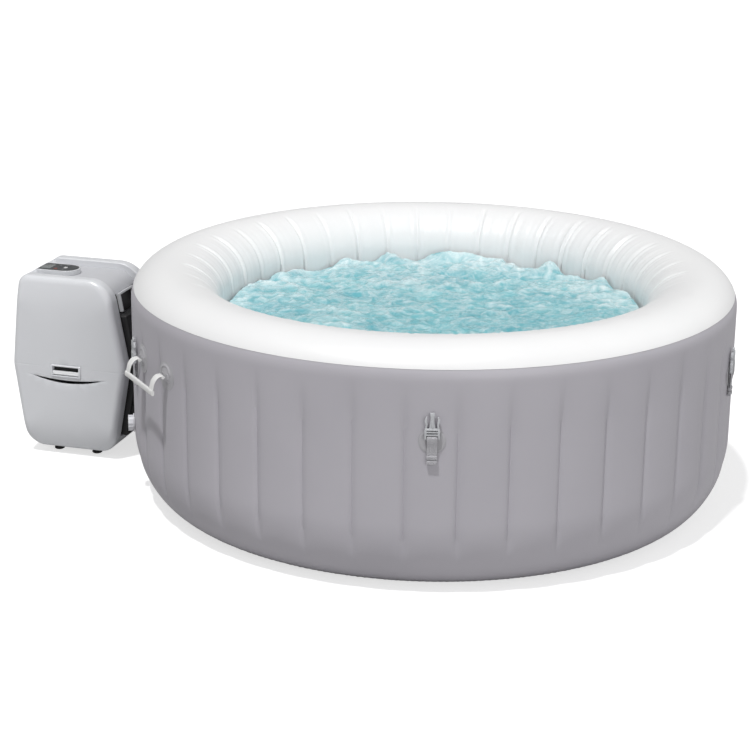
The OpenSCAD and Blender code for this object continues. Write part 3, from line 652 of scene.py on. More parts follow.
@dataclass(frozen=True)
class BrushedFinish(Finish):
    """Metal brushed along one direction, by stretching its grain."""

    stretch: tuple[float, float, float] = (1.0, 0.03, 1.0)

    def relief(self, tree: bpy.types.NodeTree, shader: bpy.types.Node) -> None:
        """Feeds the shader from a noise stretched along the brushing."""
        place = tree.nodes.new("ShaderNodeTexCoord")
        mapping = tree.nodes.new("ShaderNodeMapping")
        mapping.inputs["Scale"].default_value = self.stretch
        texture = tree.nodes.new("ShaderNodeTexNoise")
        texture.inputs["Scale"].default_value = self.grain_scale
        level = tree.nodes.new("ShaderNodeMapRange")
        level.inputs["To Min"].default_value = self.rough[0]
        level.inputs["To Max"].default_value = self.rough[1]
        relief = tree.nodes.new("ShaderNodeBump")
        relief.inputs["Distance"].default_value = self.grain_depth
        tree.links.new(place.outputs["Object"], mapping.inputs["Vector"])
        tree.links.new(mapping.outputs["Vector"], texture.inputs["Vector"])
        tree.links.new(texture.outputs["Fac"], level.inputs["Value"])
        tree.links.new(level.outputs["Result"], shader.inputs["Roughness"])
        tree.links.new(texture.outputs["Fac"], relief.inputs["Height"])
        tree.links.new(relief.outputs["Normal"], shader.inputs["Normal"])


@dataclass(frozen=True)
class WaterFinish(Finish):
    """Aerated water: turquoise in the troughs, white where the foam attribute is high."""

    foam: tuple[float, float, float] = (0.86, 0.95, 0.96)
    foam_scale: float = 26.0

    def colour(self, tree: bpy.types.NodeTree, shader: bpy.types.Node) -> None:
        """Mixes clear and foamy water by the attribute and a torn noise."""
        mottle = self.place(tree, Effects.mottle())
        mottle.inputs["Tint"].default_value = (*self.tint, 1)
        mottle.inputs["Second Tint"].default_value = (*self.second, 1)
        mottle.inputs["Scale"].default_value = self.mottle_scale
        froth = tree.nodes.new("ShaderNodeAttribute")
        froth.attribute_name = "foam"
        place = tree.nodes.new("ShaderNodeTexCoord")
        torn = tree.nodes.new("ShaderNodeTexNoise")
        torn.inputs["Scale"].default_value = self.foam_scale
        torn.inputs["Detail"].default_value = 8.0
        torn.inputs["Roughness"].default_value = 0.72
        torn.inputs["Distortion"].default_value = 0.8
        spread = tree.nodes.new("ShaderNodeMapRange")
        spread.inputs["From Min"].default_value = 0.42
        spread.inputs["From Max"].default_value = 0.68
        both = tree.nodes.new("ShaderNodeMath")
        both.operation = "MULTIPLY_ADD"
        both.use_clamp = True
        both.inputs[1].default_value = 0.55
        mix = tree.nodes.new("ShaderNodeMix")
        mix.data_type = "RGBA"
        mix.inputs["B"].default_value = (*self.foam, 1)
        tree.links.new(place.outputs["Object"], torn.inputs["Vector"])
        tree.links.new(torn.outputs["Fac"], spread.inputs["Value"])
        tree.links.new(spread.outputs["Result"], both.inputs[0])
        tree.links.new(froth.outputs["Fac"], both.inputs[2])
        tree.links.new(both.outputs[0], mix.inputs["Factor"])
        tree.links.new(mottle.outputs["Color"], mix.inputs["A"])
        tree.links.new(mix.outputs["Result"], shader.inputs["Base Color"])


class Finishes:
    """Every finish of the object."""

    WALL = Finish(
        "wall_vinyl", "wall_grey", (0.455, 0.44, 0.476), (0.43, 0.416, 0.452),
        rough=(0.4, 0.5), mottle_scale=2.4, grain_scale=1400, grain_depth=0.00003,
    )
    RIM = Finish(
        "rim_vinyl", "rim_white", (0.86, 0.86, 0.86), (0.83, 0.83, 0.835),
        rough=(0.36, 0.46), mottle_scale=2.0, grain_scale=1400, grain_depth=0.00003,
    )
    LINER = Finish(
        "liner_vinyl", "liner", (0.7, 0.72, 0.72), (0.66, 0.69, 0.7),
        rough=(0.4, 0.55), grain_scale=300, grain_depth=0.0003,
    )
    BASE = Finish(
        "base_vinyl", "base", (0.17, 0.17, 0.19), (0.15, 0.15, 0.17),
        rough=(0.5, 0.65), grain_scale=700, grain_depth=0.0001,
    )
    WEB = Finish("web_vinyl", "web", (0.78, 0.78, 0.78), (0.74, 0.74, 0.75))
    FITTING = Finish(
        "fitting_plastic", "fitting_white", (0.68, 0.68, 0.71), (0.65, 0.65, 0.68),
        rough=(0.28, 0.36), grain_scale=1800, grain_depth=0.00002,
    )
    RUBBER = Finish(
        "seal_rubber", "gasket", (0.018, 0.018, 0.018), (0.024, 0.024, 0.024),
        rough=(0.6, 0.75), grain_scale=1200, grain_depth=0.00006,
    )
    BLACK = Finish(
        "black_moulding", "black_plastic", (0.012, 0.012, 0.013), (0.017, 0.017, 0.018),
        rough=(0.42, 0.6), grain_scale=1500, grain_depth=0.00006,
    )
    PAPER = WovenFinish(
        "filter_paper", "paper", (0.8, 0.8, 0.76), (0.74, 0.74, 0.7), rough=(0.8, 0.95),
    )
    PATCH = WovenFinish(
        "welded_patch", "pad_grey", (0.41, 0.405, 0.425), (0.385, 0.38, 0.4),
        rough=(0.3, 0.4), grain_depth=0.00003, threads=90,
    )
    BAND = Finish(
        "handle_band", "handle_band", (0.25, 0.25, 0.245), (0.21, 0.21, 0.205),
        rough=(0.35, 0.5), grain_scale=900, grain_depth=0.00006,
    )
    WEBBING = WovenFinish(
        "strap_webbing", "webbing", (0.5, 0.495, 0.52), (0.42, 0.415, 0.44),
        rough=(0.5, 0.75), grain_depth=0.0003, threads=55,
    )
    BUCKLE = Finish(
        "buckle_acetal", "buckle_plastic", (0.52, 0.53, 0.55), (0.47, 0.48, 0.5),
        rough=(0.22, 0.32), grain_scale=2000, grain_depth=0.00002,
    )
    COVER = Finish(
        "cover_moulding", "cover_grey", (0.70, 0.71, 0.735), (0.675, 0.685, 0.71),
        rough=(0.26, 0.36), mottle_scale=3.0, grain_scale=1600, grain_depth=0.00002,
        coat=0.15,
    )
    TOP_BAND = Finish(
        "band_moulding", "band_grey", (0.56, 0.565, 0.59), (0.53, 0.535, 0.56),
        rough=(0.4, 0.52), grain_scale=1400, grain_depth=0.00004,
    )
    GRIP = Finish(
        "grip_moulding", "grip_light", (0.66, 0.67, 0.69), (0.62, 0.63, 0.65),
        rough=(0.28, 0.38), grain_scale=1600, grain_depth=0.00002,
    )
    FEET = Finish(
        "foot_rubber", "feet", (0.016, 0.016, 0.016), (0.022, 0.022, 0.022),
        rough=(0.65, 0.8), grain_scale=1000, grain_depth=0.00008,
    )
    LATCH = Finish(
        "latch_moulding", "latch_white", (0.84, 0.845, 0.86), (0.8, 0.805, 0.82),
        rough=(0.2, 0.28), grain_scale=2000, grain_depth=0.00001,
    )
    PANEL = Finish(
        "panel_membrane", "panel_dark", (0.052, 0.056, 0.06), (0.04, 0.043, 0.047),
        rough=(0.28, 0.36), grain_scale=1800, grain_depth=0.00002,
    )
    DISPLAY = Finish(
        "display_glass", "display", (0.24, 0.26, 0.26), (0.21, 0.23, 0.23),
        rough=(0.08, 0.12), grain_depth=0.0, coat=0.8,
    )
    KEY = Finish(
        "key_light", "button_light", (0.6, 0.6, 0.6), (0.56, 0.56, 0.56), rough=(0.3, 0.4),
    )
    DARK_KEY = Finish(
        "key_dark", "button_light", (0.13, 0.135, 0.14), (0.11, 0.115, 0.12),
        rough=(0.3, 0.4),
    )
    HEAT_KEY = Finish(
        "key_red", "button_red", (0.2, 0.07, 0.055), (0.17, 0.06, 0.05), rough=(0.3, 0.4),
    )
    MOTOR = Finish(
        "motor_paint", "motor_grey", (0.1, 0.105, 0.115), (0.085, 0.09, 0.1),
        rough=(0.45, 0.6), grain_scale=1100, grain_depth=0.00006,
    )
    STEEL = BrushedFinish(
        "heater_steel", "heater_steel", (0.6, 0.61, 0.62), (0.54, 0.55, 0.56),
        rough=(0.22, 0.38), metallic=1.0, grain_scale=900,
    )
    IMPELLER = Finish(
        "impeller_nylon", "impeller_pale", (0.52, 0.52, 0.48), (0.47, 0.47, 0.43),
        rough=(0.4, 0.5),
    )
    WATER = WaterFinish(
        "churned_water", "", (0.12, 0.42, 0.49), (0.2, 0.53, 0.58),
        rough=(0.05, 0.14), mottle_scale=7.0, grain_scale=420, grain_depth=0.0016,
        ripple=2.0,
    )


class Assembly:
    """What every sub-assembly shares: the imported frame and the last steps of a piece."""

    def __init__(self, frame: dict) -> None:
        """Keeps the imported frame."""
        self.frame = frame

    def done(
        self,
        obj: bpy.types.Object,
        finish: Finish,
        body: str,
        stands_for: Sequence[str] = (),
        degrees: float = 35,
    ) -> bpy.types.Object:
        """Shades, dresses and mounts a finished piece.

        Args:
            obj: The piece, in place.
            finish: Its finish.
            body: The body that it rides on.
            stands_for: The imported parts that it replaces.
            degrees: Angle below which its faces shade smoothly.

        Returns:
            The same piece.
        """
        Bench.shade(obj, degrees)
        obj.data.materials.clear()
        obj.data.materials.append(finish.build())
        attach(obj, body)
        if stands_for:
            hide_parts(*stands_for)
        LOG.info("%s rides on %s", obj.name, body)
        return obj

    def dress(self, finish: Finish, *names: str) -> None:
        """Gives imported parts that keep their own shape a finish."""
        for name in names:
            part = self.frame["nodes"][name]
            part.data.materials.clear()
            part.data.materials.append(finish.build())
            LOG.info("%s is dressed as %s", name, finish.name)

    @staticmethod
    def unwrap(obj: bpy.types.Object) -> None:
        """Gives a piece a UV map whose unit is about 10 mm."""
        Bench.pick(obj)
        bpy.ops.object.mode_set(mode="EDIT")
        bpy.ops.mesh.select_all(action="SELECT")
        bpy.ops.uv.cube_project(cube_size=0.01, scale_to_bounds=False)
        bpy.ops.object.mode_set(mode="OBJECT")


# ------------------------------------------------------------------ tub
@dataclass
class WallSection:
    """The section of the inflated wall, as three elliptical arcs and two straights.

    Args:
        radius: Radius of the upright part of the outer wall.
        height: Height of the rim.
        inside: Radius of the inner wall.
        base: Radius of the ring that the wall stands on.
        crest: Radius of the highest line.
        foot: Height where the foot's bulge ends.
        shoulder: Height where the outer wall starts to curve in.
        lip: Height where the inner wall starts to curve out.
    """

    radius: float
    height: float
    inside: float
    base: float
    crest: float
    foot: float = 0.200
    shoulder: float = 0.575
    lip: float = 0.540
    rim_seam: float = 21.0
    lip_seam: float = 125.0

    def foot_at(self, degrees: np.ndarray) -> np.ndarray:
        """Radius and height on the foot's arc."""
        a = np.radians(degrees)
        return np.stack(
            [self.base + (self.radius - self.base) * np.cos(a), self.foot * (1 + np.sin(a))], -1
        )

    def shoulder_at(self, degrees: np.ndarray) -> np.ndarray:
        """Radius and height on the shoulder's arc."""
        a = np.radians(degrees)
        rise = self.height - self.shoulder
        return np.stack(
            [
                self.crest + (self.radius - self.crest) * np.cos(a),
                self.shoulder + rise * np.sin(a),
            ],
            -1,
        )

    def lip_at(self, degrees: np.ndarray) -> np.ndarray:
        """Radius and height on the lip's arc."""
        a = np.radians(degrees)
        return np.stack(
            [
                self.crest + (self.crest - self.inside) * np.cos(a),
                self.lip + (self.height - self.lip) * np.sin(a),
            ],
            -1,
        )

    @staticmethod
    def evenly(points: np.ndarray, share: np.ndarray) -> np.ndarray:
        """Reads a section line at even distances along it.

        Args:
            points: Radius and height of closely spaced points.
            share: Shares of the line's length, from 0 to 1.

        Returns:
            Radius and height at each share.
        """
        run = np.concatenate([[0], np.cumsum(np.linalg.norm(np.diff(points, axis=0), axis=1))])
        at = share * run[-1]
        return np.stack([np.interp(at, run, points[:, k]) for k in (0, 1)], -1)

    def outer_line(self) -> np.ndarray:
        """The outer wall's section from the ground to the rim's weld."""
        return np.concatenate(
            [
                self.foot_at(np.linspace(-90, 0, 60)),
                self.shoulder_at(np.linspace(0, self.rim_seam, 40)),
            ]
        )

    def rim_line(self) -> np.ndarray:
        """The rim's section from its outer weld over the crest to its inner weld."""
        return np.concatenate(
            [
                self.shoulder_at(np.linspace(self.rim_seam, 90, 40)),
                self.lip_at(np.linspace(90, self.lip_seam, 40))[1:],
            ]
        )

    def inner_line(self, floor: float) -> np.ndarray:
        """The inner wall's section from the rim's weld down to the floor."""
        return np.concatenate(
            [self.lip_at(np.linspace(self.lip_seam, 180, 40)), [[self.inside, floor]]]
        )


@dataclass
class TubSkins:
    """The three inflated skins with their pleats, pinches and gathers."""

    assembly: Assembly
    chambers: int = 40
    first_centre: float = math.radians(-75)
    skin: float = 0.0025
    pleat_depth: float = 0.011
    crease_depth: float = 0.005
    pinch_depth: float = 0.006
    steps_per_chamber: int = 20
    section: WallSection = field(init=False)

    def __post_init__(self) -> None:
        """Reads the wall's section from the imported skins."""
        _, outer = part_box("outer_wall")
        _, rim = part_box("top_rim")
        _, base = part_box("base_sheet")
        _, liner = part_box("floor_liner")
        inside = round(liner.x + 0.0003, 4)
        self.section = WallSection(outer.x, rim.z, inside, base.x, outer.x - 0.105)

    def seam_angle(self, theta: np.ndarray) -> np.ndarray:
        """Place in a chamber: -1 and 1 are its seams and 0 is its middle."""
        pitch = FULL_TURN / self.chambers
        return 2 * (((theta - self.first_centre) / pitch + 0.5) % 1.0) - 1

    def seam_index(self, theta: np.ndarray) -> np.ndarray:
        """Number of the nearest seam."""
        pitch = FULL_TURN / self.chambers
        return np.rint((theta - self.first_centre) / pitch - 0.5).astype(int) % self.chambers

    def strength(self, theta: np.ndarray, seed: int) -> np.ndarray:
        """A different steady share, from 0.4 to 1, for each seam."""
        table = np.random.default_rng(seed).uniform(0.4, 1.0, self.chambers)
        return table[self.seam_index(theta)]

    def revolve(
        self,
        name: str,
        line: np.ndarray,
        steps: int,
        shape: Callable[[np.ndarray, np.ndarray, np.ndarray], tuple[np.ndarray, np.ndarray]],
    ) -> bpy.types.Object:
        """Revolves a section line and presses the pleats into it.

        Args:
            name: Name of the skin.
            line: Radius and height of closely spaced points, outer side first.
            steps: Steps along the line.
            shape: For each point's angle, radius and height, how far it moves
                outwards and upwards.

        Returns:
            The skin, without its thickness.
        """

        def rule(u: np.ndarray, v: np.ndarray) -> np.ndarray:
            """Place of each point of the skin."""
            theta = u * FULL_TURN
            radius, height = WallSection.evenly(line, v).T
            out, up = shape(theta, radius, height)
            radius = radius + out
            return np.stack(
                [radius * np.cos(theta), radius * np.sin(theta), height + up], -1
            )

        around = self.chambers * self.steps_per_chamber
        return Bench.surface(name, around, steps, rule, outward=False)

    def outer_shape(
        self, theta: np.ndarray, radius: np.ndarray, height: np.ndarray
    ) -> tuple[np.ndarray, np.ndarray]:
        """Pleats between the seams, fading into the foot and the smooth shoulder."""
        place = self.seam_angle(theta)
        share = self.strength(theta, 11)
        top = 0.5 + 0.04 * share
        fade = smooth_step(0.06, 0.17, height) * (1 - smooth_step(top - 0.1, top + 0.06, height))
        round_part = 1 - np.sqrt(np.clip(1 - (0.97 * np.abs(place)) ** 2, 0, 1))
        crease = np.exp(-((1 - np.abs(place)) / 0.055) ** 2)
        out = -fade * (self.pleat_depth * round_part + self.crease_depth * crease)
        tuck = bump(0.012, 0.012, height) * np.abs(np.sin(theta * 148 + 0.8 * np.sin(theta * 31)))
        out -= 0.0032 * tuck * (0.35 + 0.65 * share)
        near_rim = bump(self.section.shoulder_at(self.section.rim_seam)[1], 0.006, height)
        out -= 0.0012 * near_rim
        return out, np.zeros_like(out)

    def rim_shape(
        self, theta: np.ndarray, radius: np.ndarray, height: np.ndarray
    ) -> tuple[np.ndarray, np.ndarray]:
        """Fine radial wrinkles that fade out towards the crest."""
        inner = 1 - smooth_step(self.section.inside + 0.065, self.section.crest - 0.02, radius)
        inner = inner * (radius < self.section.crest)
        return self.wrinkles(theta, inner, height)

    def wrinkles(
        self, theta: np.ndarray, weight: np.ndarray, height: np.ndarray
    ) -> tuple[np.ndarray, np.ndarray]:
        """Pinches at the seams and finer creases between them.

        Args:
            theta: Angle of each point.
            weight: Strength at each point, from 0 to 1.
            height: Height of each point; not used.

        Returns:
            How far each point moves outwards and upwards.
        """
        place = self.seam_angle(theta)
        share = self.strength(theta, 5)
        groove = np.exp(-((1 - np.abs(place)) / 0.085) ** 2)
        ridge = np.exp(-((0.8 - np.abs(place)) / 0.09) ** 2)
        pinch = share * (groove - 0.45 * ridge) * self.pinch_depth
        fine = np.sin(theta * 190 + 3 * np.sin(theta * 17)) * np.sin(theta * 61 + 1.3)
        swell = 0.5 * (1 - np.cos(math.pi * place)) * 0.003
        corner = 0.35 + 0.65 * bump(0.0, 0.55, wrapped(theta, math.radians(38)))
        out = weight * (pinch + 0.0011 * fine * corner + swell)
        return out, -0.7 * weight * (pinch + 0.0011 * fine * corner)

    def inner_shape(
        self, theta: np.ndarray, radius: np.ndarray, height: np.ndarray
    ) -> tuple[np.ndarray, np.ndarray]:
        """Deep pinches down the seams of the inner wall."""
        low = smooth_step(0.0, 0.12, height)
        weld = self.section.lip_at(self.section.lip_seam)
        at_weld = 1 - smooth_step(self.section.inside + 0.065, self.section.crest - 0.02, weld[0])
        rise = smooth_step(self.section.lip, weld[1], height)
        out, up = self.wrinkles(theta, low * (1 + (at_weld - 1) * rise), height)
        return out, up * rise

    def build(self) -> None:
        """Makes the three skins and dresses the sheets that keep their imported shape."""
        a = self.assembly
        wall = self.revolve("pleated_wall", self.section.outer_line(), 88, self.outer_shape)
        rim = self.revolve("padded_rim", self.section.rim_line(), 40, self.rim_shape)
        inner = self.revolve("inner_skin", self.section.inner_line(self.skin), 60, self.inner_shape)
        for skin in (wall, rim, inner):
            Bench.thicken(skin, self.skin)
        a.done(wall, Finishes.WALL, "tub", ["outer_wall"], 60)
        a.done(rim, Finishes.RIM, "tub", ["top_rim"], 60)
        a.done(inner, Finishes.RIM, "tub", ["inner_wall"], 60)
        a.dress(Finishes.LINER, "floor_liner")
        a.dress(Finishes.BASE, "base_sheet")
        a.dress(Finishes.WEB, "chamber_webs")


@dataclass
class Water:
    """Churned, foaming water that fills the tub to just under its lip."""

    assembly: Assembly
    level: float = 0.512
    depth: float = 0.03
    wall_gap: float = 0.008
    grid: int = 210
    swell: float = 0.014
    chop: float = 0.010

    def height(self, x: float, y: float, reach: float) -> tuple[float, float]:
        """Height of the water above its level, and how much foam lies there.

        Args:
            x: Place along X.
            y: Place along Y.
            reach: Radius of the water.

        Returns:
            The height and the foam's share.
        """
        place = Vector((x * 4.2, y * 4.2, 0.7))
        slow = noise.noise(place)
        ridge = noise.ridged_multi_fractal(Vector((x * 9, y * 9, 3.1)), 0.9, 2.1, 5, 1.0, 2.0)
        fine = noise.fractal(Vector((x * 42, y * 42, 9.4)), 0.7, 2.2, 4)
        edge = (math.hypot(x, y) / reach) ** 6
        boil = 0.55 + 0.45 * noise.noise(Vector((x * 3.0, y * 3.0, 5.5)))
        away = float(smooth_step(-0.15, 0.5, y * 0.97 - x * 0.26))
        boil *= 1 + 0.9 * away
        splash = edge * max(0.0, noise.noise(Vector((x * 11, y * 11, 1.9)))) * 0.035 * (0.4 + away)
        lift = self.swell * slow + self.chop * (ridge - 1.0) * boil + 0.0035 * fine + splash
        foam = 0.28 * (ridge - 1.05) + 0.3 * edge + 0.25 * fine + 0.25 * max(0.0, slow) - 0.1
        foam += 0.12 * away - 0.1 * float(smooth_step(0.1, 0.55, x))
        return lift, min(1.0, max(0.0, foam))

    def build(self) -> None:
        """Makes the water as one closed body with its foam in an attribute."""
        _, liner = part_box("floor_liner")
        reach = liner.x - self.wall_gap

        def rule(u: np.ndarray, v: np.ndarray) -> np.ndarray:
            """A square grid pressed into a round one."""
            x, y = 2 * u - 1, 2 * v - 1
            flat = np.stack([x * np.sqrt(1 - y * y / 2), y * np.sqrt(1 - x * x / 2)], -1) * reach
            lift = np.array([self.height(px, py, reach)[0] for px, py in flat])
            return np.column_stack([flat, self.level + lift])

        obj = Bench.surface("churned_water", self.grid, self.grid, rule, outward=False)
        Bench.pick(obj)
        bpy.ops.object.mode_set(mode="EDIT")
        bpy.ops.mesh.select_all(action="SELECT")
        bpy.ops.mesh.region_to_loop()
        bpy.ops.mesh.extrude_region_move(TRANSFORM_OT_translate={"value": (0, 0, -self.depth)})
        bpy.ops.mesh.edge_face_add()
        bpy.ops.mesh.select_all(action="SELECT")
        bpy.ops.mesh.normals_make_consistent(inside=False)
        bpy.ops.object.mode_set(mode="OBJECT")
        foam = obj.data.attributes.new("foam", "FLOAT", "POINT")
        amounts = [self.height(x, y, reach)[1] for x, y, _ in Bench.points(obj)]
        foam.data.foreach_set("value", np.array(amounts, np.float32))
        self.assembly.done(obj, Finishes.WATER, "tub", degrees=80)


# ------------------------------------------------------------------ buckles and handles
@dataclass
class CoverBuckles:
    """Five side-release buckles on short webbing straps, welded to the wall on patches."""

    assembly: Assembly
    names: tuple[str, ...] = ("front", "right", "rear_right", "rear_left", "left")
    first: float = math.radians(-75)
    bar_radius: float = 0.858
    bar_height: float = 0.434
    wall_radius: float = 0.850
    webbing: float = 0.026
    width: float = 0.038
    length: float = 0.066
    drop: float = 0.068
    thick: float = 0.008

    def at(self, number: int) -> Matrix:
        """Places a buckle's own frame: X outwards, Y round the tub, Z up, on its bar."""
        turn = Matrix.Rotation(self.first + number * FULL_TURN / len(self.names), 4, "Z")
        return turn @ Matrix.Translation((self.bar_radius, 0, self.bar_height))

    def strap(self) -> bpy.types.Object:
        """The webbing: wrapped over the bar, hanging down and folded at its stitched end."""
        inner = self.wall_radius - self.bar_radius + 0.0022
        loop = 0.0042
        path = [(inner, 0, -self.drop + 0.006), (inner + 0.0004, 0, -self.drop + 0.03)]
        path += [(inner + 0.001, 0, -0.03), (inner + 0.0016, 0, -0.012)]
        for step in range(9):
            a = math.pi * (1 - step / 8)
            path.append((loop * math.cos(a), 0, loop * math.sin(a) + 0.0005))
        path += [(loop - 0.0006, 0, -0.010), (inner + 0.0058, 0, -0.022)]
        path += [(inner + 0.0044, 0, -0.045), (inner + 0.004, 0, -self.drop + 0.002)]
        half, thin = self.webbing / 2, 0.0009

        def section(_: float, turn: float) -> tuple[float, float]:
            """Flat section with rounded selvedges."""
            a = turn * FULL_TURN
            c, s = math.cos(a), math.sin(a)
            return (
                half * math.copysign(abs(c) ** 0.3, c),
                thin * math.copysign(abs(s) ** 0.6, s),
            )

        band = Bench.tube("webbing", self.smoothed(path, 3), section, 16, (0, 1, 0))
        folds = [
            Bench.block(
                "fold",
                (inner - 0.001, -half, -self.drop + low),
                (inner + 0.0082, half, -self.drop + low + 0.0105),
                0.0016,
            )
            for low in (-0.001, 0.0125)
        ]
        stitches = [
            Bench.block(
                "stitch",
                (inner + 0.0079, y - 0.0011, -self.drop + z - 0.0004),
                (inner + 0.0086, y + 0.0011, -self.drop + z + 0.0004),
                0.0003,
                1,
            )
            for z in (0.0035, 0.0175)
            for y in np.linspace(-half + 0.003, half - 0.003, 7)
        ]
        return Bench.weld("webbing", [band, *folds, *stitches])

    @staticmethod
    def smoothed(path: Sequence[Sequence[float]], times: int) -> np.ndarray:
        """Rounds a path's corners by cutting them again and again.

        Args:
            path: Corner points.
            times: How often the corners are cut.

        Returns:
            More points on a smoother path with the same ends.
        """
        line = np.array(path, float)
        for _ in range(times):
            a, b = line[:-1], line[1:]
            cut = np.stack([0.75 * a + 0.25 * b, 0.25 * a + 0.75 * b], 1).reshape(-1, 3)
            line = np.concatenate([line[:1], cut, line[-1:]])
        return line

    def patch(self) -> bpy.types.Object:
        """The round welded patch, with a raised weld ring near its edge."""
        across = 0.034
        back = self.wall_radius - self.bar_radius + 0.0003

        def rule(u: np.ndarray, v: np.ndarray) -> np.ndarray:
            """A shallow disc bent round the wall."""
            a, r = u * FULL_TURN, v * across
            y, z = r * np.cos(a), r * np.sin(a) - 0.010
            bend = -(y**2) / (2 * self.wall_radius)
            face = 0.0009 * (1 - v**10) + 0.0006 * bump(0.86, 0.05, v)
            return np.stack([back + bend + face, y, z], -1)

        disc = Bench.surface("patch", 64, 24, rule, outward=False)
        if disc.data.polygons[40].normal.x < 0:
            disc.data.flip_normals()
        Bench.thicken(disc, 0.0012)
        return disc

    def male(self) -> bpy.types.Object:
        """The male half: ladder base, middle prong and two sprung arms with hooked tips."""
        half, t = self.width / 2, self.thick / 2
        arm = [
            (half - 0.0055, 0.020), (half - 0.0005, 0.020), (half - 0.0022, 0.031),
            (half - 0.0028, 0.0375), (half + 0.0004, 0.0415), (half - 0.0002, 0.0485),
            (half - 0.0036, 0.0560), (half - 0.0062, 0.0562),
            (half - 0.0056, 0.048), (half - 0.0072, 0.040), (half - 0.0064, 0.030),
        ]
        mirrored = [(-y, z) for y, z in reversed(arm)]
        prong = [
            (-0.0085, 0.022), (0.0085, 0.022), (0.0052, 0.040), (0.0044, self.length - 0.0105),
            (0.0055, self.length - 0.009), (0.0055, self.length - 0.001),
            (0.0042, self.length), (-0.0042, self.length), (-0.0055, self.length - 0.001),
            (-0.0055, self.length - 0.009), (-0.0044, self.length - 0.0105), (-0.0052, 0.040),
        ]
        base = [
            (-half, 0.0085), (-half + 0.0015, 0.007), (half - 0.0015, 0.007), (half, 0.0085),
            (half, 0.0235), (half - 0.002, 0.026), (-half + 0.002, 0.026), (-half, 0.0235),
        ]
        stand = Matrix(((0, 0, 1, 0), (1, 0, 0, 0), (0, 1, 0, 0), (0, 0, 0, 1)))
        parts = [
            Bench.plate("base", base, -t, t, 0.0011, 3),
            Bench.plate("prong", prong, -t + 0.0012, t - 0.0012, 0.0009, 3),
            Bench.plate("right_arm", arm, -t + 0.0008, t - 0.0008, 0.0008, 2),
            Bench.plate("left_arm", mirrored, -t + 0.0008, t - 0.0008, 0.0008, 2),
        ]
        for part in parts:
            Bench.carry(part, stand)
        for low, high in ((0.0115, 0.0150), (0.0182, 0.0212)):
            slot = Bench.block(
                "slot", (-t - 0.001, -half + 0.0052, low), (t + 0.001, half - 0.0052, high), 0
            )
            Bench.cut(parts[0], slot)
        for side in (-1, 1):
            low, high = sorted((side * (half - 0.0042), side * (half - 0.0002)))
            parts.append(Bench.block("cheek", (-t, low, -0.0025), (t, high, 0.010), 0.0012))
        bar_path = [(0, y, 0) for y in np.linspace(-half + 0.001, half - 0.001, 5)]
        parts.append(
            Bench.tube(
                "bar",
                bar_path,
                lambda _, turn: (
                    0.002 * math.cos(turn * FULL_TURN), 0.002 * math.sin(turn * FULL_TURN)
                ),
                16,
                (1, 0, 0),
            )
        )
        parts.append(
            Bench.block("rib", (t - 0.0008, -0.0018, 0.028), (t + 0.0006, 0.0018, 0.050), 0.0006)
        )
        return Bench.weld("buckle", parts)

    def build(self) -> None:
        """Makes one strap, patch and buckle, and copies them round the tub."""
        a = self.assembly
        strap, patch, male = self.strap(), self.patch(), self.male()
        for piece in (strap, patch):
            Assembly.unwrap(piece)
        straps = [
            Bench.copy(strap, f"{word}_strap", self.at(k)) for k, word in enumerate(self.names)
        ]
        patches = [
            Bench.copy(patch, f"{word}_patch", self.at(k)) for k, word in enumerate(self.names)
        ]
        for k, word in enumerate(self.names):
            buckle = Bench.copy(male, f"{word}_male_buckle", self.at(k))
            a.done(buckle, Finishes.BUCKLE, f"{word}_buckle", [f"{word}_buckle"])
        for piece in (strap, patch, male):
            bpy.data.objects.remove(piece, do_unlink=True)
        for number, (webbing, disc) in enumerate(zip(straps, patches)):
            stands = ["buckle_straps"] if number == 0 else []
            a.done(webbing, Finishes.WEBBING, "tub", stands, 50)
            a.done(disc, Finishes.PATCH, "tub", degrees=50)


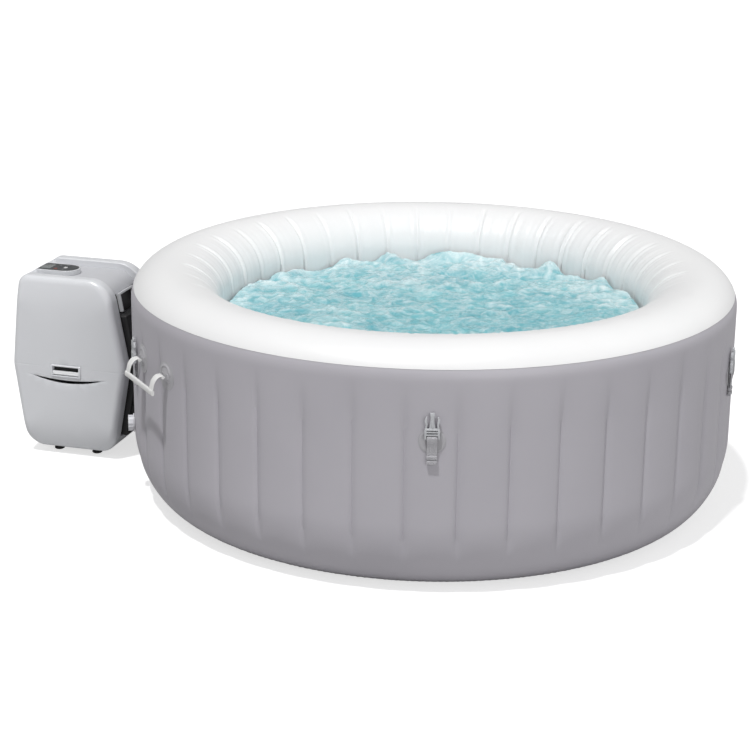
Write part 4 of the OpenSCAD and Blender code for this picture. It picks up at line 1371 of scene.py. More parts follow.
@dataclass
class CarryHandles:
    """Two carry handles: a folded flat band hung from two welded pads with slots."""

    assembly: Assembly
    angles: dict[str, float] = field(
        default_factory=lambda: {"front": math.radians(-136), "rear": math.radians(44)}
    )
    hinge_radius: float = 0.860
    hinge_height: float = 0.463
    wall_radius: float = 0.850
    length: float = 0.170
    width: float = 0.026
    band: float = 0.003
    reach_out: float = 0.031
    drop: float = 0.039

    def at(self, angle: float) -> Matrix:
        """Places a handle's own frame: X outwards, Y round the tub, Z up."""
        turn = Matrix.Rotation(angle, 4, "Z")
        return turn @ Matrix.Translation((self.hinge_radius, 0, self.hinge_height))

    def grip(self, name: str) -> bpy.types.Object:
        """The band: two legs that curl out of the slots and the bar between them."""
        half = self.length / 2
        out, down = self.reach_out, self.drop
        parts = []
        for side in (-1, 1):
            middle = side * half
            path = [
                (-0.0055, middle, -0.001), (0.002, middle, 0.004), (0.014, middle, 0.002),
                (0.024, middle, -0.010), (out - 0.003, middle, -0.024), (out, middle, -down),
            ]
            parts.append(self.strip(f"leg{side}", CoverBuckles.smoothed(path, 3), (0, 1, 0)))
            eye = [(0, middle + y, 0) for y in np.linspace(-self.width / 2, self.width / 2, 3)]
            parts.append(
                Bench.tube(
                    "eye",
                    eye,
                    lambda _, turn: (
                        0.0045 * math.cos(turn * FULL_TURN), 0.0045 * math.sin(turn * FULL_TURN)
                    ),
                    20,
                    (1, 0, 0),
                )
            )
        end = half + self.width / 2
        bar = [(out - 0.001, y, -down) for y in np.linspace(-end, end, 25)]

        def section(_: float, turn: float) -> tuple[float, float]:
            """A soft rounded bar, thicker than the band."""
            a = turn * FULL_TURN
            c, s = math.cos(a), math.sin(a)
            return (
                0.0043 * math.copysign(abs(c) ** 0.6, c),
                0.0075 * math.copysign(abs(s) ** 0.6, s),
            )

        parts.append(Bench.tube("bar", bar, section, 20, (1, 0, 0)))
        return Bench.weld(name, parts)

    def strip(
        self, name: str, path: np.ndarray, side: Sequence[float]
    ) -> bpy.types.Object:
        """A flat band with rounded edges along a path."""

        def section(_: float, turn: float) -> tuple[float, float]:
            """Flat section."""
            a = turn * FULL_TURN
            c, s = math.cos(a), math.sin(a)
            return (
                self.width / 2 * math.copysign(abs(c) ** 0.25, c),
                self.band / 2 * math.copysign(abs(s) ** 0.6, s),
            )

        return Bench.tube(name, path, section, 16, side)

    def pads(self, name: str) -> bpy.types.Object:
        """Two round pads, each with a raised slot mouth and a pressed crescent above it."""
        parts = []
        turn_of = math.asin(self.length / 2 / self.wall_radius)
        for side in (-1, 1):

            def rule(u: np.ndarray, v: np.ndarray) -> np.ndarray:
                """A shallow bulge bent round the wall, with its weld lines."""
                a, r = u * FULL_TURN, v * 0.040
                y, z = r * np.cos(a), r * np.sin(a)
                bulge = 0.0045 * np.cos(np.minimum(v, 1) * math.pi / 2) ** 2
                near = np.hypot(y, z - 0.004)
                crescent = bump(0.024, 0.003, near) * smooth_step(0.0, 0.012, z)
                folds = bump(0, 0.012, y - 0.012) * bump(-0.014, 0.01, z)
                folds = folds * np.sin(z * 1300) * 0.0012
                face = bulge + 0.0028 * crescent + folds + 0.0004 * (1 - v**8)
                bend = -(y**2) / (2 * self.wall_radius)
                return np.stack([self.wall_radius + 0.0002 + bend + face, y, z], -1)

            pad = Bench.surface("pad", 96, 40, rule, outward=False)
            if pad.data.polygons[60].normal.x < 0:
                pad.data.flip_normals()
            Bench.thicken(pad, 0.0012)
            mouth = Bench.block(
                "mouth",
                (self.wall_radius + 0.001, -self.width / 2 - 0.0045, -0.0075),
                (self.wall_radius + 0.0052, self.width / 2 + 0.0045, 0.0085),
                0.002,
            )
            slot = Bench.block(
                "slot",
                (self.wall_radius + 0.0012, -self.width / 2 - 0.0012, -0.0048),
                (self.wall_radius + 0.02, self.width / 2 + 0.0012, 0.0058),
                0.0,
            )
            Bench.cut(mouth, slot)
            for piece in (pad, mouth):
                place = Matrix.Translation((0, 0, self.hinge_height))
                Bench.carry(piece, Matrix.Rotation(side * turn_of, 4, "Z") @ place)
                parts.append(piece)
        return Bench.weld(name, parts)

    def build(self) -> None:
        """Makes both handles and their pads."""
        a = self.assembly
        for word, angle in self.angles.items():
            band = Bench.carry(self.grip(f"{word}_grip"), self.at(angle))
            a.done(band, Finishes.BAND, f"{word}_handle", [f"{word}_handle"], 50)
            pads = Bench.carry(self.pads(f"{word}_handle_pads"), Matrix.Rotation(angle, 4, "Z"))
            Assembly.unwrap(pads)
            stands = ["handle_anchors"] if word == "front" else []
            a.done(pads, Finishes.PATCH, "tub", stands, 60)


# ------------------------------------------------------------------ pump
@dataclass(frozen=True)
class Corner:
    """A corner circle of the pump's side outline: sideways place, height and radius."""

    x: float
    z: float
    r: float


@dataclass
class PumpOutline:
    """The pump's side outline, anticlockwise from its lower corner on the tub side."""

    middle: float
    top: float
    foot: float = 0.020
    seam: float = 0.281
    steps: int = 14

    def corners(self) -> list[Corner]:
        """The six corner circles."""
        return [
            Corner(0.090, self.foot + 0.058, 0.058),
            Corner(0.064, self.seam, 0.120),
            Corner(0.070, self.top - 0.080, 0.080),
            Corner(-0.122, self.top - 0.030, 0.030),
            Corner(-0.062, self.seam, 0.113),
            Corner(-0.090, self.foot + 0.058, 0.058),
        ]

    def side_normal(self, number: int) -> float:
        """Angle of the outward normal on the straight after a corner."""
        corners = self.corners()
        a, b = corners[number], corners[(number + 1) % len(corners)]
        dx, dz = b.x - a.x, b.z - a.z
        return math.atan2(dz, dx) - math.acos((a.r - b.r) / math.hypot(dx, dz))

    def line(self) -> tuple[np.ndarray, np.ndarray]:
        """Closely spaced points of the outline and their outward normals.

        Returns:
            Points and normals, each a row of x and z, first point repeated at the end.
        """
        corners = self.corners()
        spots, normals = [], []
        for number, corner in enumerate(corners):
            first = self.side_normal((number - 1) % len(corners))
            last = self.side_normal(number)
            while last < first:
                last += FULL_TURN
            for angle in np.linspace(first, last, self.steps + 1):
                normal = np.array([math.cos(angle), math.sin(angle)])
                spots.append(np.array([corner.x, corner.z]) + corner.r * normal)
                normals.append(normal)
        for group in (spots, normals):
            group.append(group[0])
        return np.array(spots), np.array(normals)

    def stretch(self, start: float, end: float, count: int) -> tuple[np.ndarray, np.ndarray]:
        """Evenly spaced points and normals between two places along the outline.

        Args:
            start: Distance along the outline where the stretch starts.
            end: Distance where it ends, which may be past the outline's start.
            count: Number of steps.

        Returns:
            Points and normals.
        """
        spots, normals = self.line()
        run = self.run()
        at = np.linspace(start, end, count + 1) % run[-1]
        place = np.stack([np.interp(at, run, spots[:, k]) for k in (0, 1)], -1)
        normal = np.stack([np.interp(at, run, normals[:, k]) for k in (0, 1)], -1)
        normal /= np.linalg.norm(normal, axis=1)[:, None]
        return place, normal

    def run(self) -> np.ndarray:
        """Distance along the outline of each of its points."""
        spots, _ = self.line()
        return np.concatenate([[0], np.cumsum(np.linalg.norm(np.diff(spots, axis=0), axis=1))])

    def distance_at(self, test: Callable[[np.ndarray], np.ndarray]) -> float:
        """Distance along the outline where a value falls to nought for the first time.

        Args:
            test: For rows of x and z, a value that changes sign at the place sought.

        Returns:
            The distance.
        """
        fine = np.linspace(0, self.run()[-1], 4001)
        spots, _ = self.line()
        run = self.run()
        place = np.stack([np.interp(fine, run, spots[:, k]) for k in (0, 1)], -1)
        value = test(place)
        flips = np.nonzero(np.sign(value[:-1]) != np.sign(value[1:]))[0]
        return float(fine[flips[0]])


@dataclass
class PumpCasing:
    """The pump's four covers, its top band, tub side panel and hand grip."""

    assembly: Assembly
    depth: float = 0.300
    crown: float = 0.022
    face_inset: float = 0.020
    face_sink: float = 0.0018
    top_lean: float = 0.016
    foot_lean: float = 0.024
    lean_reach: float = 0.085
    wall: float = 0.003
    recess_half: float = 0.090
    recess_depth: float = 0.020
    rim_round: float = 0.010
    panel_end: float = -0.138
    panel_low: float = 0.066
    band_end: float = 0.050
    grip_low: float = 0.112
    ridge_height: float = 0.313
    outline: PumpOutline = field(init=False)

    def __post_init__(self) -> None:
        """Reads the pump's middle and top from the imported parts."""
        low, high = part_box("base_tray")
        _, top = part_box("front_upper_cover")
        self.outline = PumpOutline((low.x + high.x) / 2, round(top.z, 3))

    def marks(self) -> dict[str, float]:
        """Distances along the outline of the places that the pieces meet at."""
        line, top = self.outline, self.outline.top
        tub_side = lambda height: line.distance_at(  # noqa: E731
            lambda p: np.where(p[:, 0] > 0, p[:, 1] - height, -1.0)
        )
        return {
            "panel_low": tub_side(self.panel_low),
            "seam_tub": tub_side(line.seam),
            "grip_low": tub_side(top - self.grip_low),
            "band_end": tub_side(top - self.band_end),
            "panel_end": line.distance_at(
                lambda p: np.where(p[:, 1] > line.seam, p[:, 0] - self.panel_end, 1.0)
            ),
            "seam_outer": line.distance_at(
                lambda p: np.where(p[:, 0] < 0, p[:, 1] - line.seam, 1.0)
            ),
            "whole": float(line.run()[-1]),
        }

    def crown_inset(self, y: np.ndarray) -> np.ndarray:
        """How far the outline has moved in at a sideways place."""
        over = np.clip((np.abs(y) - self.depth / 2 + self.crown) / self.crown, 0, 1)
        return self.face_inset * (1 - np.sqrt(np.clip(1 - over**2, 0, 1)))

    def lean(self, height: np.ndarray) -> np.ndarray:
        """How far the face leans back near its top and near its foot."""
        high, low = self.outline.top, self.outline.foot
        top = smooth_step(high - self.lean_reach, high + 0.02, height)
        foot = 1 - smooth_step(low - 0.03, low + self.lean_reach, height)
        return self.top_lean * top + self.foot_lean * foot

    def recess_inset(self, y: np.ndarray, at: np.ndarray, marks: dict[str, float]) -> np.ndarray:
        """Depth of the recess for the band and panel, with its rounded rims."""
        floor = self.recess_depth + self.wall + 0.0006
        edge = self.recess_half + 0.0006
        rise = np.clip((edge + self.rim_round - np.abs(y)) / self.rim_round, 0, 1)
        lip = self.rim_round * 0.45 * (1 - np.sqrt(np.clip(1 - rise**2, 0, 1)))
        inside = np.where(np.abs(y) <= edge, floor, lip)
        soft = 0.0012
        within = smooth_step(marks["panel_low"] - soft, marks["panel_low"] + soft, at) * (
            1 - smooth_step(marks["panel_end"] - soft, marks["panel_end"] + soft, at)
        )
        return inside * within

    def stations(self) -> np.ndarray:
        """Sideways places of the covers' rings, from the face's middle to the joint.

        Returns:
            Rows of a share of the flat face, which is 0 at its middle, and a distance
            from the pump's middle plane.
        """
        half = self.depth / 2
        rows = [(share, half) for share in (0.0, 0.12, 0.3, 0.5, 0.7, 0.86, 0.96)]
        for angle in np.linspace(90, 0, 13):
            rows.append((1.0, half - self.crown * (1 - math.sin(math.radians(angle)))))
        edge = self.recess_half + 0.0006
        rows.append((1.0, edge + self.rim_round * 1.15))
        for angle in np.linspace(0, 90, 9):
            rows.append((1.0, edge + self.rim_round * (1 - math.sin(math.radians(angle)))))
        rows += [(1.0, edge - 0.0002), (1.0, edge * 0.66), (1.0, edge * 0.33), (1.0, 0.0)]
        return np.array(rows)

    def cover(self, side: Side, half: Half, marks: dict[str, float]) -> bpy.types.Object:
        """One cover: a crowned face, rounded corners and the recess's rim.

        Args:
            side: Front or rear.
            half: Above or below the seam.
            marks: Distances along the outline.

        Returns:
            The cover, with its thickness.
        """
        start, end = marks["seam_tub"], marks["seam_outer"]
        if half is Half.LOWER:
            start, end = end, start + marks["whole"]
        rows = self.stations()
        count = 150
        place, normal = self.outline.stretch(start, end, count)
        at = np.linspace(start, end, count + 1) % marks["whole"]
        centre = np.array([-0.004, self.outline.seam])

        def rule(u: np.ndarray, v: np.ndarray) -> np.ndarray:
            """Place of each point of the cover's outside."""
            col = np.rint(u * count).astype(int)
            row = rows[np.rint(v * (len(rows) - 1)).astype(int)]
            inset = self.crown_inset(row[:, 1]) + self.recess_inset(row[:, 1], at[col], marks)
            edge = place[col] - inset[:, None] * normal[col]
            flat = centre + (edge - centre) * row[:, :1]
            edge_y = self.recess_half + self.rim_round * 1.2
            share = np.clip((row[:, 1] - edge_y) / (self.depth / 2 - edge_y), 0, 1)
            sunk = self.lean(flat[:, 1]) + self.face_sink * row[:, 0] ** 2
            deep = row[:, 1] - share * sunk
            return np.column_stack(
                [flat[:, 0] + self.outline.middle, side.value * deep, flat[:, 1]]
            )

        name = f"{side.word}_{half.word}_shell"
        obj = Bench.surface(name, count, len(rows) - 1, rule, outward=False)
        middle_face = min(obj.data.polygons, key=lambda f: side.value * -f.center.y)
        if middle_face.normal.y * side.value < 0:
            obj.data.flip_normals()
        Bench.thicken(obj, self.wall)
        return obj

    def ribbon(
        self,
        name: str,
        start: float,
        end: float,
        inset: tuple[float, float],
        across: tuple[float, float],
        radius: float,
        count: int = 60,
    ) -> bpy.types.Object:
        """A strip that follows the outline between two distances.

        Args:
            name: Name of the piece.
            start: Distance along the outline where it starts.
            end: Distance where it ends.
            inset: How far its outer and inner faces lie in from the outline.
            across: Its two sideways limits.
            radius: Radius of its rounded edges.
            count: Steps along it.

        Returns:
            The strip.
        """
        place, normal = self.outline.stretch(start, end, count)
        corners = [
            (inset[0], across[0]), (inset[0], across[1]), (inset[1], across[1]),
            (inset[1], across[0]), (inset[0], across[0]),
        ]

        def rule(u: np.ndarray, v: np.ndarray) -> np.ndarray:
            """Place of each point of the strip."""
            col = np.rint(u * count).astype(int)
            turn = np.array(corners)[np.rint(v * 4).astype(int)]
            flat = place[col] - turn[:, :1] * normal[col]
            return np.column_stack([flat[:, 0] + self.outline.middle, turn[:, 1], flat[:, 1]])

        obj = Bench.surface(name, count, 4, rule)
        Bench.close_holes(obj)
        if radius:
            Bench.soften(obj, radius, 3)
        return obj

    def ridge(self, side: Side) -> bpy.types.Object:
        """The thin raised line across a face above the latch."""
        reach = 0.1235
        face = self.depth / 2 - 0.0018
        middle = self.outline.middle - 0.006
        path = [
            (middle + x, side.value * face, self.ridge_height + 0.0035 * (x / reach) ** 2)
            for x in np.linspace(-reach, reach, 41)
        ]

        def section(share: float, turn: float) -> tuple[float, float]:
            """A low hump that narrows to both ends."""
            size = 0.25 + 0.75 * math.sin(math.pi * share) ** 0.5
            a = turn * FULL_TURN
            return 0.0017 * size * math.cos(a), 0.0026 * size * math.sin(a)

        return Bench.tube("ridge", path, section, 16, (0, 1, 0))

    def groove(self, side: Side) -> bpy.types.Object:
        """Cutter of the crescent finger groove under the latch."""
        reach = 0.121
        face = self.depth / 2 - 0.0008
        middle = self.outline.middle + 0.004
        path = [
            (
                middle + x,
                side.value * face,
                0.2375 + 0.0155 * (x / reach) ** 2,
            )
            for x in np.linspace(-reach, reach, 61)
        ]

        def section(share: float, turn: float) -> tuple[float, float]:
            """A lens that is thick in the middle and pointed at both ends."""
            size = max(0.02, math.sin(math.pi * share)) ** 0.8
            a = turn * FULL_TURN
            return 0.0105 * size * math.cos(a), 0.0052 * size * math.sin(a)

        return Bench.tube("groove", path, section, 20, (0, 1, 0))

    def covers(self, marks: dict[str, float]) -> None:
        """Makes the four covers with their latch windows, ridge and groove."""
        for side in Side:
            frame_low, frame_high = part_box(f"{side.word}_latch_frame")
            clear = 0.0004
            for half in Half:
                cover = self.cover(side, half, marks)
                window = Bench.block(
                    "window",
                    (frame_low.x - clear, frame_low.y - 0.03, frame_low.z - clear),
                    (frame_high.x + clear, frame_high.y + 0.03, frame_high.z + clear),
                    0,
                )
                Bench.cut(cover, window)
                if half is Half.LOWER:
                    Bench.cut(cover, self.groove(side))
                Bench.soften(cover, 0.0007, 2)
                if half is Half.UPPER:
                    cover = Bench.weld(cover.name, [cover, self.ridge(side)])
                self.assembly.done(
                    cover, Finishes.COVER, "tub", [f"{side.word}_{half.word}_cover"], 32
                )

    def build(self) -> None:
        """Makes the covers, the band, the black panel and the grip."""
        a = self.assembly
        marks = self.marks()
        self.covers(marks)
        wide = self.recess_half - 0.0003
        inner = (self.recess_depth, self.recess_depth + self.wall)
        joint = 0.0002
        band = self.ribbon(
            "curved_top_band", marks["band_end"] + joint, marks["panel_end"] - 0.0004,
            inner, (-wide, wide), 0.0012, 90,
        )
        a.done(band, Finishes.TOP_BAND, "tub", ["top_band"])
        back = self.ribbon(
            "grip_back", marks["grip_low"], marks["band_end"] - joint, inner, (-wide, wide), 0.0008
        )
        proud = self.ribbon(
            "tub_side_bulge", marks["panel_low"] + 0.001, marks["grip_low"],
            (-0.016, self.recess_depth), (-self.recess_half + 0.004, self.recess_half - 0.004),
            0.006, 70,
        )
        panel = Bench.weld("black_side_panel", [proud, back])
        a.done(panel, Finishes.BLACK, "tub", ["tub_side_panel"])
        self.grip(marks)
        a.dress(Finishes.BLACK, "base_tray")
        self.feet()
        a.dress(Finishes.RUBBER, "cable_gland")

    def grip(self, marks: dict[str, float]) -> None:
        """The light lip and legs round the hand recess."""
        half, bar = 0.052, 0.0065
        stand = (self.recess_depth - 0.012, self.recess_depth)
        drop = marks["band_end"] - bar
        parts = [
            self.ribbon("lip", drop, marks["band_end"], stand, (-half, half), 0.0018, 8),
        ]
        for side in (-1, 1):
            across = tuple(sorted((side * half, side * (half - bar))))
            parts.append(
                self.ribbon(
                    "leg", marks["grip_low"] + 0.005, drop + 0.002, stand, across, 0.0018, 30
                )
            )
        lip = Bench.weld("grip_lip", parts)
        self.assembly.done(lip, Finishes.GRIP, "tub", ["grip_frame"])

    def feet(self) -> None:
        """Four ribbed rubber feet, each a lathe-turned pad."""
        low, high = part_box("rubber_feet")
        radius = 0.015
        profile = [
            (0.0, 0.0), (radius - 0.003, 0.0), (radius, 0.002), (radius, 0.006),
            (radius - 0.0015, 0.0075), (radius - 0.0015, 0.0105), (radius, 0.012),
            (radius - 0.001, high.z), (0.0, high.z),
        ]

        def rule(u: np.ndarray, v: np.ndarray) -> np.ndarray:
            """A turned surface."""
            spot = np.array(profile)[np.rint(v * (len(profile) - 1)).astype(int)]
            a = u * FULL_TURN
            return np.column_stack([spot[:, 0] * np.cos(a), spot[:, 0] * np.sin(a), spot[:, 1]])

        foot = Bench.surface("foot", 32, len(profile) - 1, rule)
        copies = [
            Bench.copy(foot, f"foot_{k}_{m}", Matrix.Translation((x, y, 0)))
            for k, x in enumerate((low.x + radius, high.x - radius))
            for m, y in enumerate((low.y + radius, high.y - radius))
        ]
        bpy.data.objects.remove(foot, do_unlink=True)
        feet = Bench.weld("turned_feet", copies)
        self.assembly.done(feet, Finishes.FEET, "tub", ["rubber_feet"])


@dataclass
class Latches:
    """The two latches that hold the upper covers down."""

    assembly: Assembly
    rim: float = 0.007

    def build(self) -> None:
        """Makes a moulded frame and a finger lever on each face."""
        for side in Side:
            self.frame_piece(side)
            self.lever(side)

    def frame_piece(self, side: Side) -> None:
        """A rounded frame with a pocket that the lever sits in, and a black sheet of painted shade
        at the pocket's back.
        """
        low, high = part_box(f"{side.word}_latch_frame")
        name = f"{side.word}_latch_bezel"
        depth = high.y - low.y
        outer = low.y if side is Side.FRONT else high.y
        inward = -side.value
        body = Bench.block(name, low, high, 0.0028, 4)
        back = 0.0025
        y0, y1 = sorted((outer - inward * 0.01, outer + inward * (depth - back)))
        pocket = Bench.block(
            "pocket",
            (low.x + self.rim, y0, low.z + self.rim - 0.002),
            (high.x - self.rim, y1, high.z - self.rim + 0.002),
            0.0015,
            2,
        )
        Bench.cut(body, pocket)
        Bench.soften(body, 0.0006, 2)
        self.assembly.done(body, Finishes.COVER, "tub", [f"{side.word}_latch_frame"], 30)
        # Painted shade: a black sheet at the back of the pocket darkens the recess above the lever.
        y0, y1 = sorted((outer + inward * (depth - back), outer + inward * (depth - back - 0.001)))
        shade = Bench.block(
            f"{side.word}_latch_back",
            (low.x + self.rim - 0.001, y0, low.z + self.rim - 0.001),
            (high.x - self.rim + 0.001, y1, high.z - self.rim + 0.001),
            0.0003,
            1,
        )
        self.assembly.done(shade, Finishes.BLACK, "tub")

    def lever(self, side: Side) -> None:
        """A white finger plate with a rolled top edge and two side pins."""
        low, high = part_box(f"{side.word}_latch_lever")
        pin = 0.0022
        plate = Bench.block(
            "plate", (low.x + pin, low.y, low.z), (high.x - pin, high.y, high.z), 0.0014, 3
        )
        outer = low.y if side is Side.FRONT else high.y
        lip_y = sorted((outer, outer + side.value * 0.0016))
        lip = Bench.block(
            "lip",
            (low.x + pin + 0.002, lip_y[0], low.z + 0.0012),
            (high.x - pin - 0.002, lip_y[1], low.z + 0.0052),
            0.0008,
            2,
        )
        middle = (low.y + high.y) / 2
        height = (low.z + high.z) / 2
        path = [(x, middle, height) for x in np.linspace(low.x, high.x, 3)]
        pins = Bench.tube(
            "pins",
            path,
            lambda _, turn: tuple(
                0.002 * wave(turn * FULL_TURN) for wave in (math.cos, math.sin)
            ),
            16,
            (0, 1, 0),
        )
        obj = Bench.weld(f"{side.word}_finger_plate", [plate, lip, pins])
        body = f"{side.word}_latch_lever"
        self.assembly.done(obj, Finishes.LATCH, body, [body])


@dataclass
class ControlPanel:
    """The D-shaped control panel on the top band, with its display and touch keys."""

    assembly: Assembly
    membrane: float = 0.0012
    surround: float = 0.0034
    corner: float = 0.008
    keys: tuple[str, ...] = ("heater", "filter", "bubble", "warmer", "cooler")
    key_gap: float = 0.0003
    hole_reach: float = 0.006

    def key_hole(self, word: str) -> bpy.types.Object:
        """Cutter of the hole in the membrane that a key moves in."""
        low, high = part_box(f"{word}_button")
        radius = (high.x - low.x) / 2 + self.key_gap
        centre = (low + high) / 2
        points = [
            (centre.x + radius * math.cos(a), centre.y + radius * math.sin(a))
            for a in np.linspace(0, FULL_TURN, 40, endpoint=False)
        ]
        return Bench.plate(
            "key_hole", points, high.z - self.hole_reach, high.z + self.hole_reach, 0
        )

    def outline(self, inset: float, steps: int = 40) -> list[tuple[float, float]]:
        """D shape: a straight end with small corners and a round end towards the tub.

        Args:
            inset: How far the shape is drawn in.
            steps: Steps in the round end.

        Returns:
            Points, anticlockwise from above.
        """
        low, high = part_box("control_panel")
        half = (high.y - low.y) / 2
        radius = half - inset
        centre = high.x - half
        end = low.x + inset
        r = max(0.001, self.corner - inset)
        points = [
            (centre + radius * math.cos(a), radius * math.sin(a))
            for a in np.linspace(-math.pi / 2, math.pi / 2, steps)
        ]
        for sign, first in ((1, math.pi / 2), (-1, math.pi)):
            for a in np.linspace(first, first + math.pi / 2, 7):
                points.append(
                    (end + r + r * math.cos(a), sign * (radius - r) + r * math.sin(a))
                )
        return points

    def build(self) -> None:
        """Makes the platform, the dark membrane, the display and the keys."""
        a = self.assembly
        low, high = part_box("control_panel")
        platform = Bench.plate("panel_platform", self.outline(0), low.z, high.z, 0.0016, 4)
        tray = Bench.plate(
            "tray", self.outline(self.surround), high.z - self.membrane, high.z + 0.01, 0
        )
        Bench.cut(platform, tray)
        Bench.soften(platform, 0.0004, 2)
        a.done(platform, Finishes.GRIP, "tub", [], 30)
        dark = Bench.plate(
            "panel_membrane",
            self.outline(self.surround + 0.0002),
            high.z - self.membrane + 0.00005,
            high.z - 0.0003,
            0.0003,
            2,
        )
        for word in self.keys:
            Bench.cut(dark, self.key_hole(word))
        a.done(dark, Finishes.PANEL, "tub", ["control_panel"], 30)
        self.display()
        for word in self.keys:
            self.key(word)

    def display(self) -> None:
        """A glass window with blank segments on its face."""
        low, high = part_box("display_window")
        glass = Bench.block(
            "display_glass",
            (low.x, low.y, high.z - 0.0008),
            (high.x, high.y, high.z + 0.0004),
            0.0003,
            2,
        )
        self.assembly.done(glass, Finishes.DISPLAY, "tub", ["display_window"], 30)
        bars = [
            Bench.block(
                "segment",
                (x, y, high.z + 0.0003),
                (x + 0.0085, y + 0.0012, high.z + 0.0005),
                0,
            )
            for x in (low.x + 0.005, low.x + 0.0165)
            for y in np.linspace(low.y + 0.007, high.y - 0.008, 4)
        ]
        marks = Bench.weld("display_segments", bars)
        self.assembly.done(marks, Finishes.PANEL, "tub", [], 30)

    def key(self, word: str) -> None:
        """A domed round key with a raised ring."""
        low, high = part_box(f"{word}_button")
        radius = (high.x - low.x) / 2
        centre = (low + high) / 2
        profile = [
            (0.0, low.z), (radius, low.z), (radius, high.z - 0.0006),
            (radius - 0.0003, high.z - 0.0002), (radius - 0.0008, high.z),
            (radius - 0.0014, high.z - 0.0001),
            (radius - 0.0018, high.z - 0.0005), (radius * 0.4, high.z - 0.0002), (0.0, high.z),
        ]

        def rule(u: np.ndarray, v: np.ndarray) -> np.ndarray:
            """A turned surface round the key's middle."""
            spot = np.array(profile)[np.rint(v * (len(profile) - 1)).astype(int)]
            a = u * FULL_TURN
            return np.column_stack(
                [centre.x + spot[:, 0] * np.cos(a), centre.y + spot[:, 0] * np.sin(a), spot[:, 1]]
            )

        obj = Bench.surface(f"{word}_key", 40, len(profile) - 1, rule)
        finish = {"heater": Finishes.HEAT_KEY, "bubble": Finishes.KEY}.get(word, Finishes.DARK_KEY)
        self.assembly.done(obj, finish, f"{word}_button", [f"{word}_button"], 50)


@dataclass
class Fittings:
    """Pipes, nuts, filter, valves and everything inside the pump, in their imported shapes."""

    assembly: Assembly

    def build(self) -> None:
        """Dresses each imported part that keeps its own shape."""
        a = self.assembly
        a.dress(
            Finishes.FITTING,
            "bubble_ring", "inlet_wall_pipe", "outlet_wall_pipe", "air_wall_pipe",
            "filter_housing", "filter_cap", "drain_valve_body", "drain_cap",
            "inflation_valve_body", "inflation_cap",
        )
        a.dress(Finishes.RUBBER, "port_gaskets")
        a.dress(Finishes.PAPER, "filter_cartridge")
        a.dress(
            Finishes.BLACK,
            "inlet_union_nut", "outlet_union_nut", "air_union_nut", "internal_pipes",
            "pump_volute", "blower_housing", "blower_fan", "control_box",
        )
        a.dress(Finishes.IMPELLER, "pump_impeller")
        a.dress(Finishes.MOTOR, "pump_motor")
        a.dress(Finishes.STEEL, "water_heater")


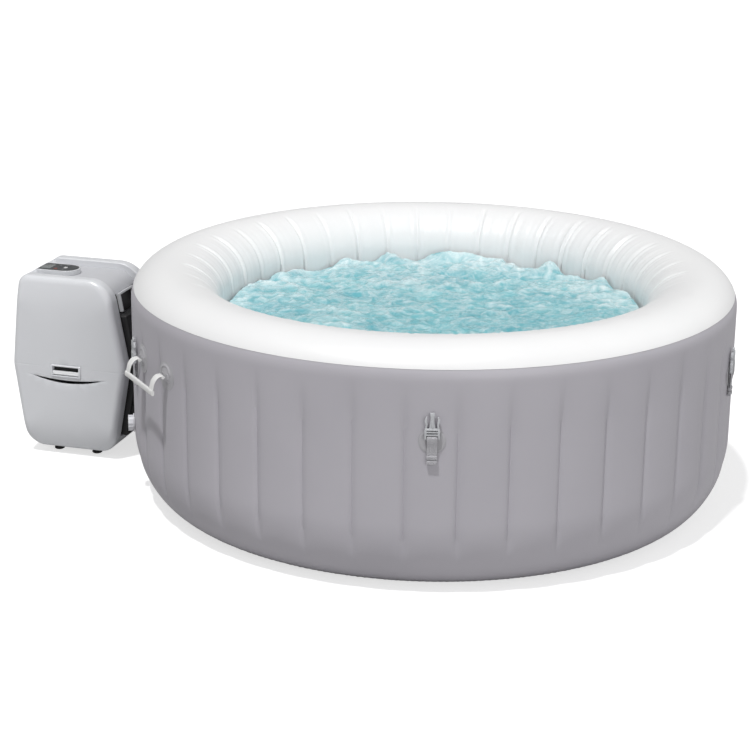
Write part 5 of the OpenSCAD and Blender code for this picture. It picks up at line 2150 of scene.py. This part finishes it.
# ------------------------------------------------------------------ studio
@dataclass
class Studio:
    """Camera, lights and a plain pale floor.

    Each light is a name, azimuth, height, spread and strength.
    """

    eye: tuple[float, float, float] = (1.3644, -5.2069, 2.0449)
    heading: float = math.radians(106.331)
    pitch: float = math.radians(-17.841)
    roll: float = math.radians(0.588)
    lens: float = 93.675
    sky: float = 0.28
    floor_glow: float = 0.66
    lights: tuple[tuple[str, float, float, float, float], ...] = (
        ("key", -104, 70, 3, 2.3),
        ("front_fill", -50, 12, 40, 0.85),
        ("far_fill", 28, 30, 60, 0.4),
    )

    def camera(self) -> None:
        """Adds the camera."""
        data = bpy.data.cameras.new("camera")
        data.lens = self.lens
        data.sensor_width = 36.0
        camera = bpy.data.objects.new("camera", data)
        bpy.context.scene.collection.objects.link(camera)
        ahead = Vector(
            (
                math.cos(self.heading) * math.cos(self.pitch),
                math.sin(self.heading) * math.cos(self.pitch),
                math.sin(self.pitch),
            )
        )
        turn = ahead.to_track_quat("-Z", "Y").to_matrix().to_4x4()
        camera.matrix_world = (
            Matrix.Translation(self.eye) @ turn @ Matrix.Rotation(self.roll, 4, "Z")
        )
        bpy.context.scene.camera = camera

    def lamp(
        self, name: str, azimuth: float, height: float, spread: float, power: float
    ) -> None:
        """Adds a distant light that shines on the origin.

        Args:
            name: Name of the light.
            azimuth: Direction that it comes from, in degrees about +Z.
            height: Degrees above the horizon.
            spread: Angle that it fills as seen from the object, in degrees.
            power: Strength.
        """
        data = bpy.data.lights.new(name, "SUN")
        data.energy = power
        data.angle = math.radians(spread)
        lamp = bpy.data.objects.new(name, data)
        bpy.context.scene.collection.objects.link(lamp)
        a, h = math.radians(azimuth), math.radians(height)
        towards = Vector((math.cos(a) * math.cos(h), math.sin(a) * math.cos(h), math.sin(h)))
        lamp.location = towards * 6
        lamp.rotation_euler = towards.to_track_quat("Z", "Y").to_euler()

    @staticmethod
    def seen_white(tree: bpy.types.NodeTree, shader: bpy.types.Node, socket: str,
                   seen: float, lit: float) -> None:
        """Gives a socket one value for the camera and another for the light it sheds.

        Args:
            tree: Node tree of the world or material.
            shader: Node whose socket is fed.
            socket: Name of the socket.
            seen: Value that the camera sees.
            lit: Value for all other rays.
        """
        path = tree.nodes.new("ShaderNodeLightPath")
        choice = tree.nodes.new("ShaderNodeMapRange")
        choice.inputs["To Min"].default_value = lit
        choice.inputs["To Max"].default_value = seen
        tree.links.new(path.outputs["Is Camera Ray"], choice.inputs["Value"])
        tree.links.new(choice.outputs["Result"], shader.inputs[socket])

    def floor(self) -> None:
        """Adds the floor."""
        Bench.clear()
        bpy.ops.mesh.primitive_plane_add(size=80, location=(0, 0, -0.0005))
        floor = Bench.named("studio_floor")
        material = bpy.data.materials.new("studio_floor")
        material.use_nodes = True
        shader = material.node_tree.nodes["Principled BSDF"]
        shader.inputs["Base Color"].default_value = (0.5, 0.5, 0.5, 1)
        shader.inputs["Roughness"].default_value = 0.9
        shader.inputs["Specular IOR Level"].default_value = 0.0
        shader.inputs["Emission Color"].default_value = (1, 1, 1, 1)
        self.seen_white(material.node_tree, shader, "Emission Strength", self.floor_glow, 0.0)
        floor.data.materials.append(material)

    def build(self) -> None:
        """Sets up the whole studio."""
        self.camera()
        world = bpy.data.worlds.new("studio")
        world.use_nodes = True
        background = world.node_tree.nodes["Background"]
        background.inputs["Color"].default_value = (1, 1, 1, 1)
        self.seen_white(world.node_tree, background, "Strength", 1.0, self.sky)
        bpy.context.scene.world = world
        bpy.context.scene.view_settings.view_transform = "Standard"
        for light in self.lights:
            self.lamp(*light)
        self.floor()


def main() -> None:
    """Builds the studio and every sub-assembly in order."""
    logging.basicConfig(level=logging.INFO, format="%(name)s: %(message)s", stream=sys.stdout)
    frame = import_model()
    Studio().build()
    assembly = Assembly(frame)
    TubSkins(assembly).build()
    Water(assembly).build()
    CoverBuckles(assembly).build()
    CarryHandles(assembly).build()
    PumpCasing(assembly).build()
    Latches(assembly).build()
    ControlPanel(assembly).build()
    Fittings(assembly).build()


if __name__ == "__main__":
    main()
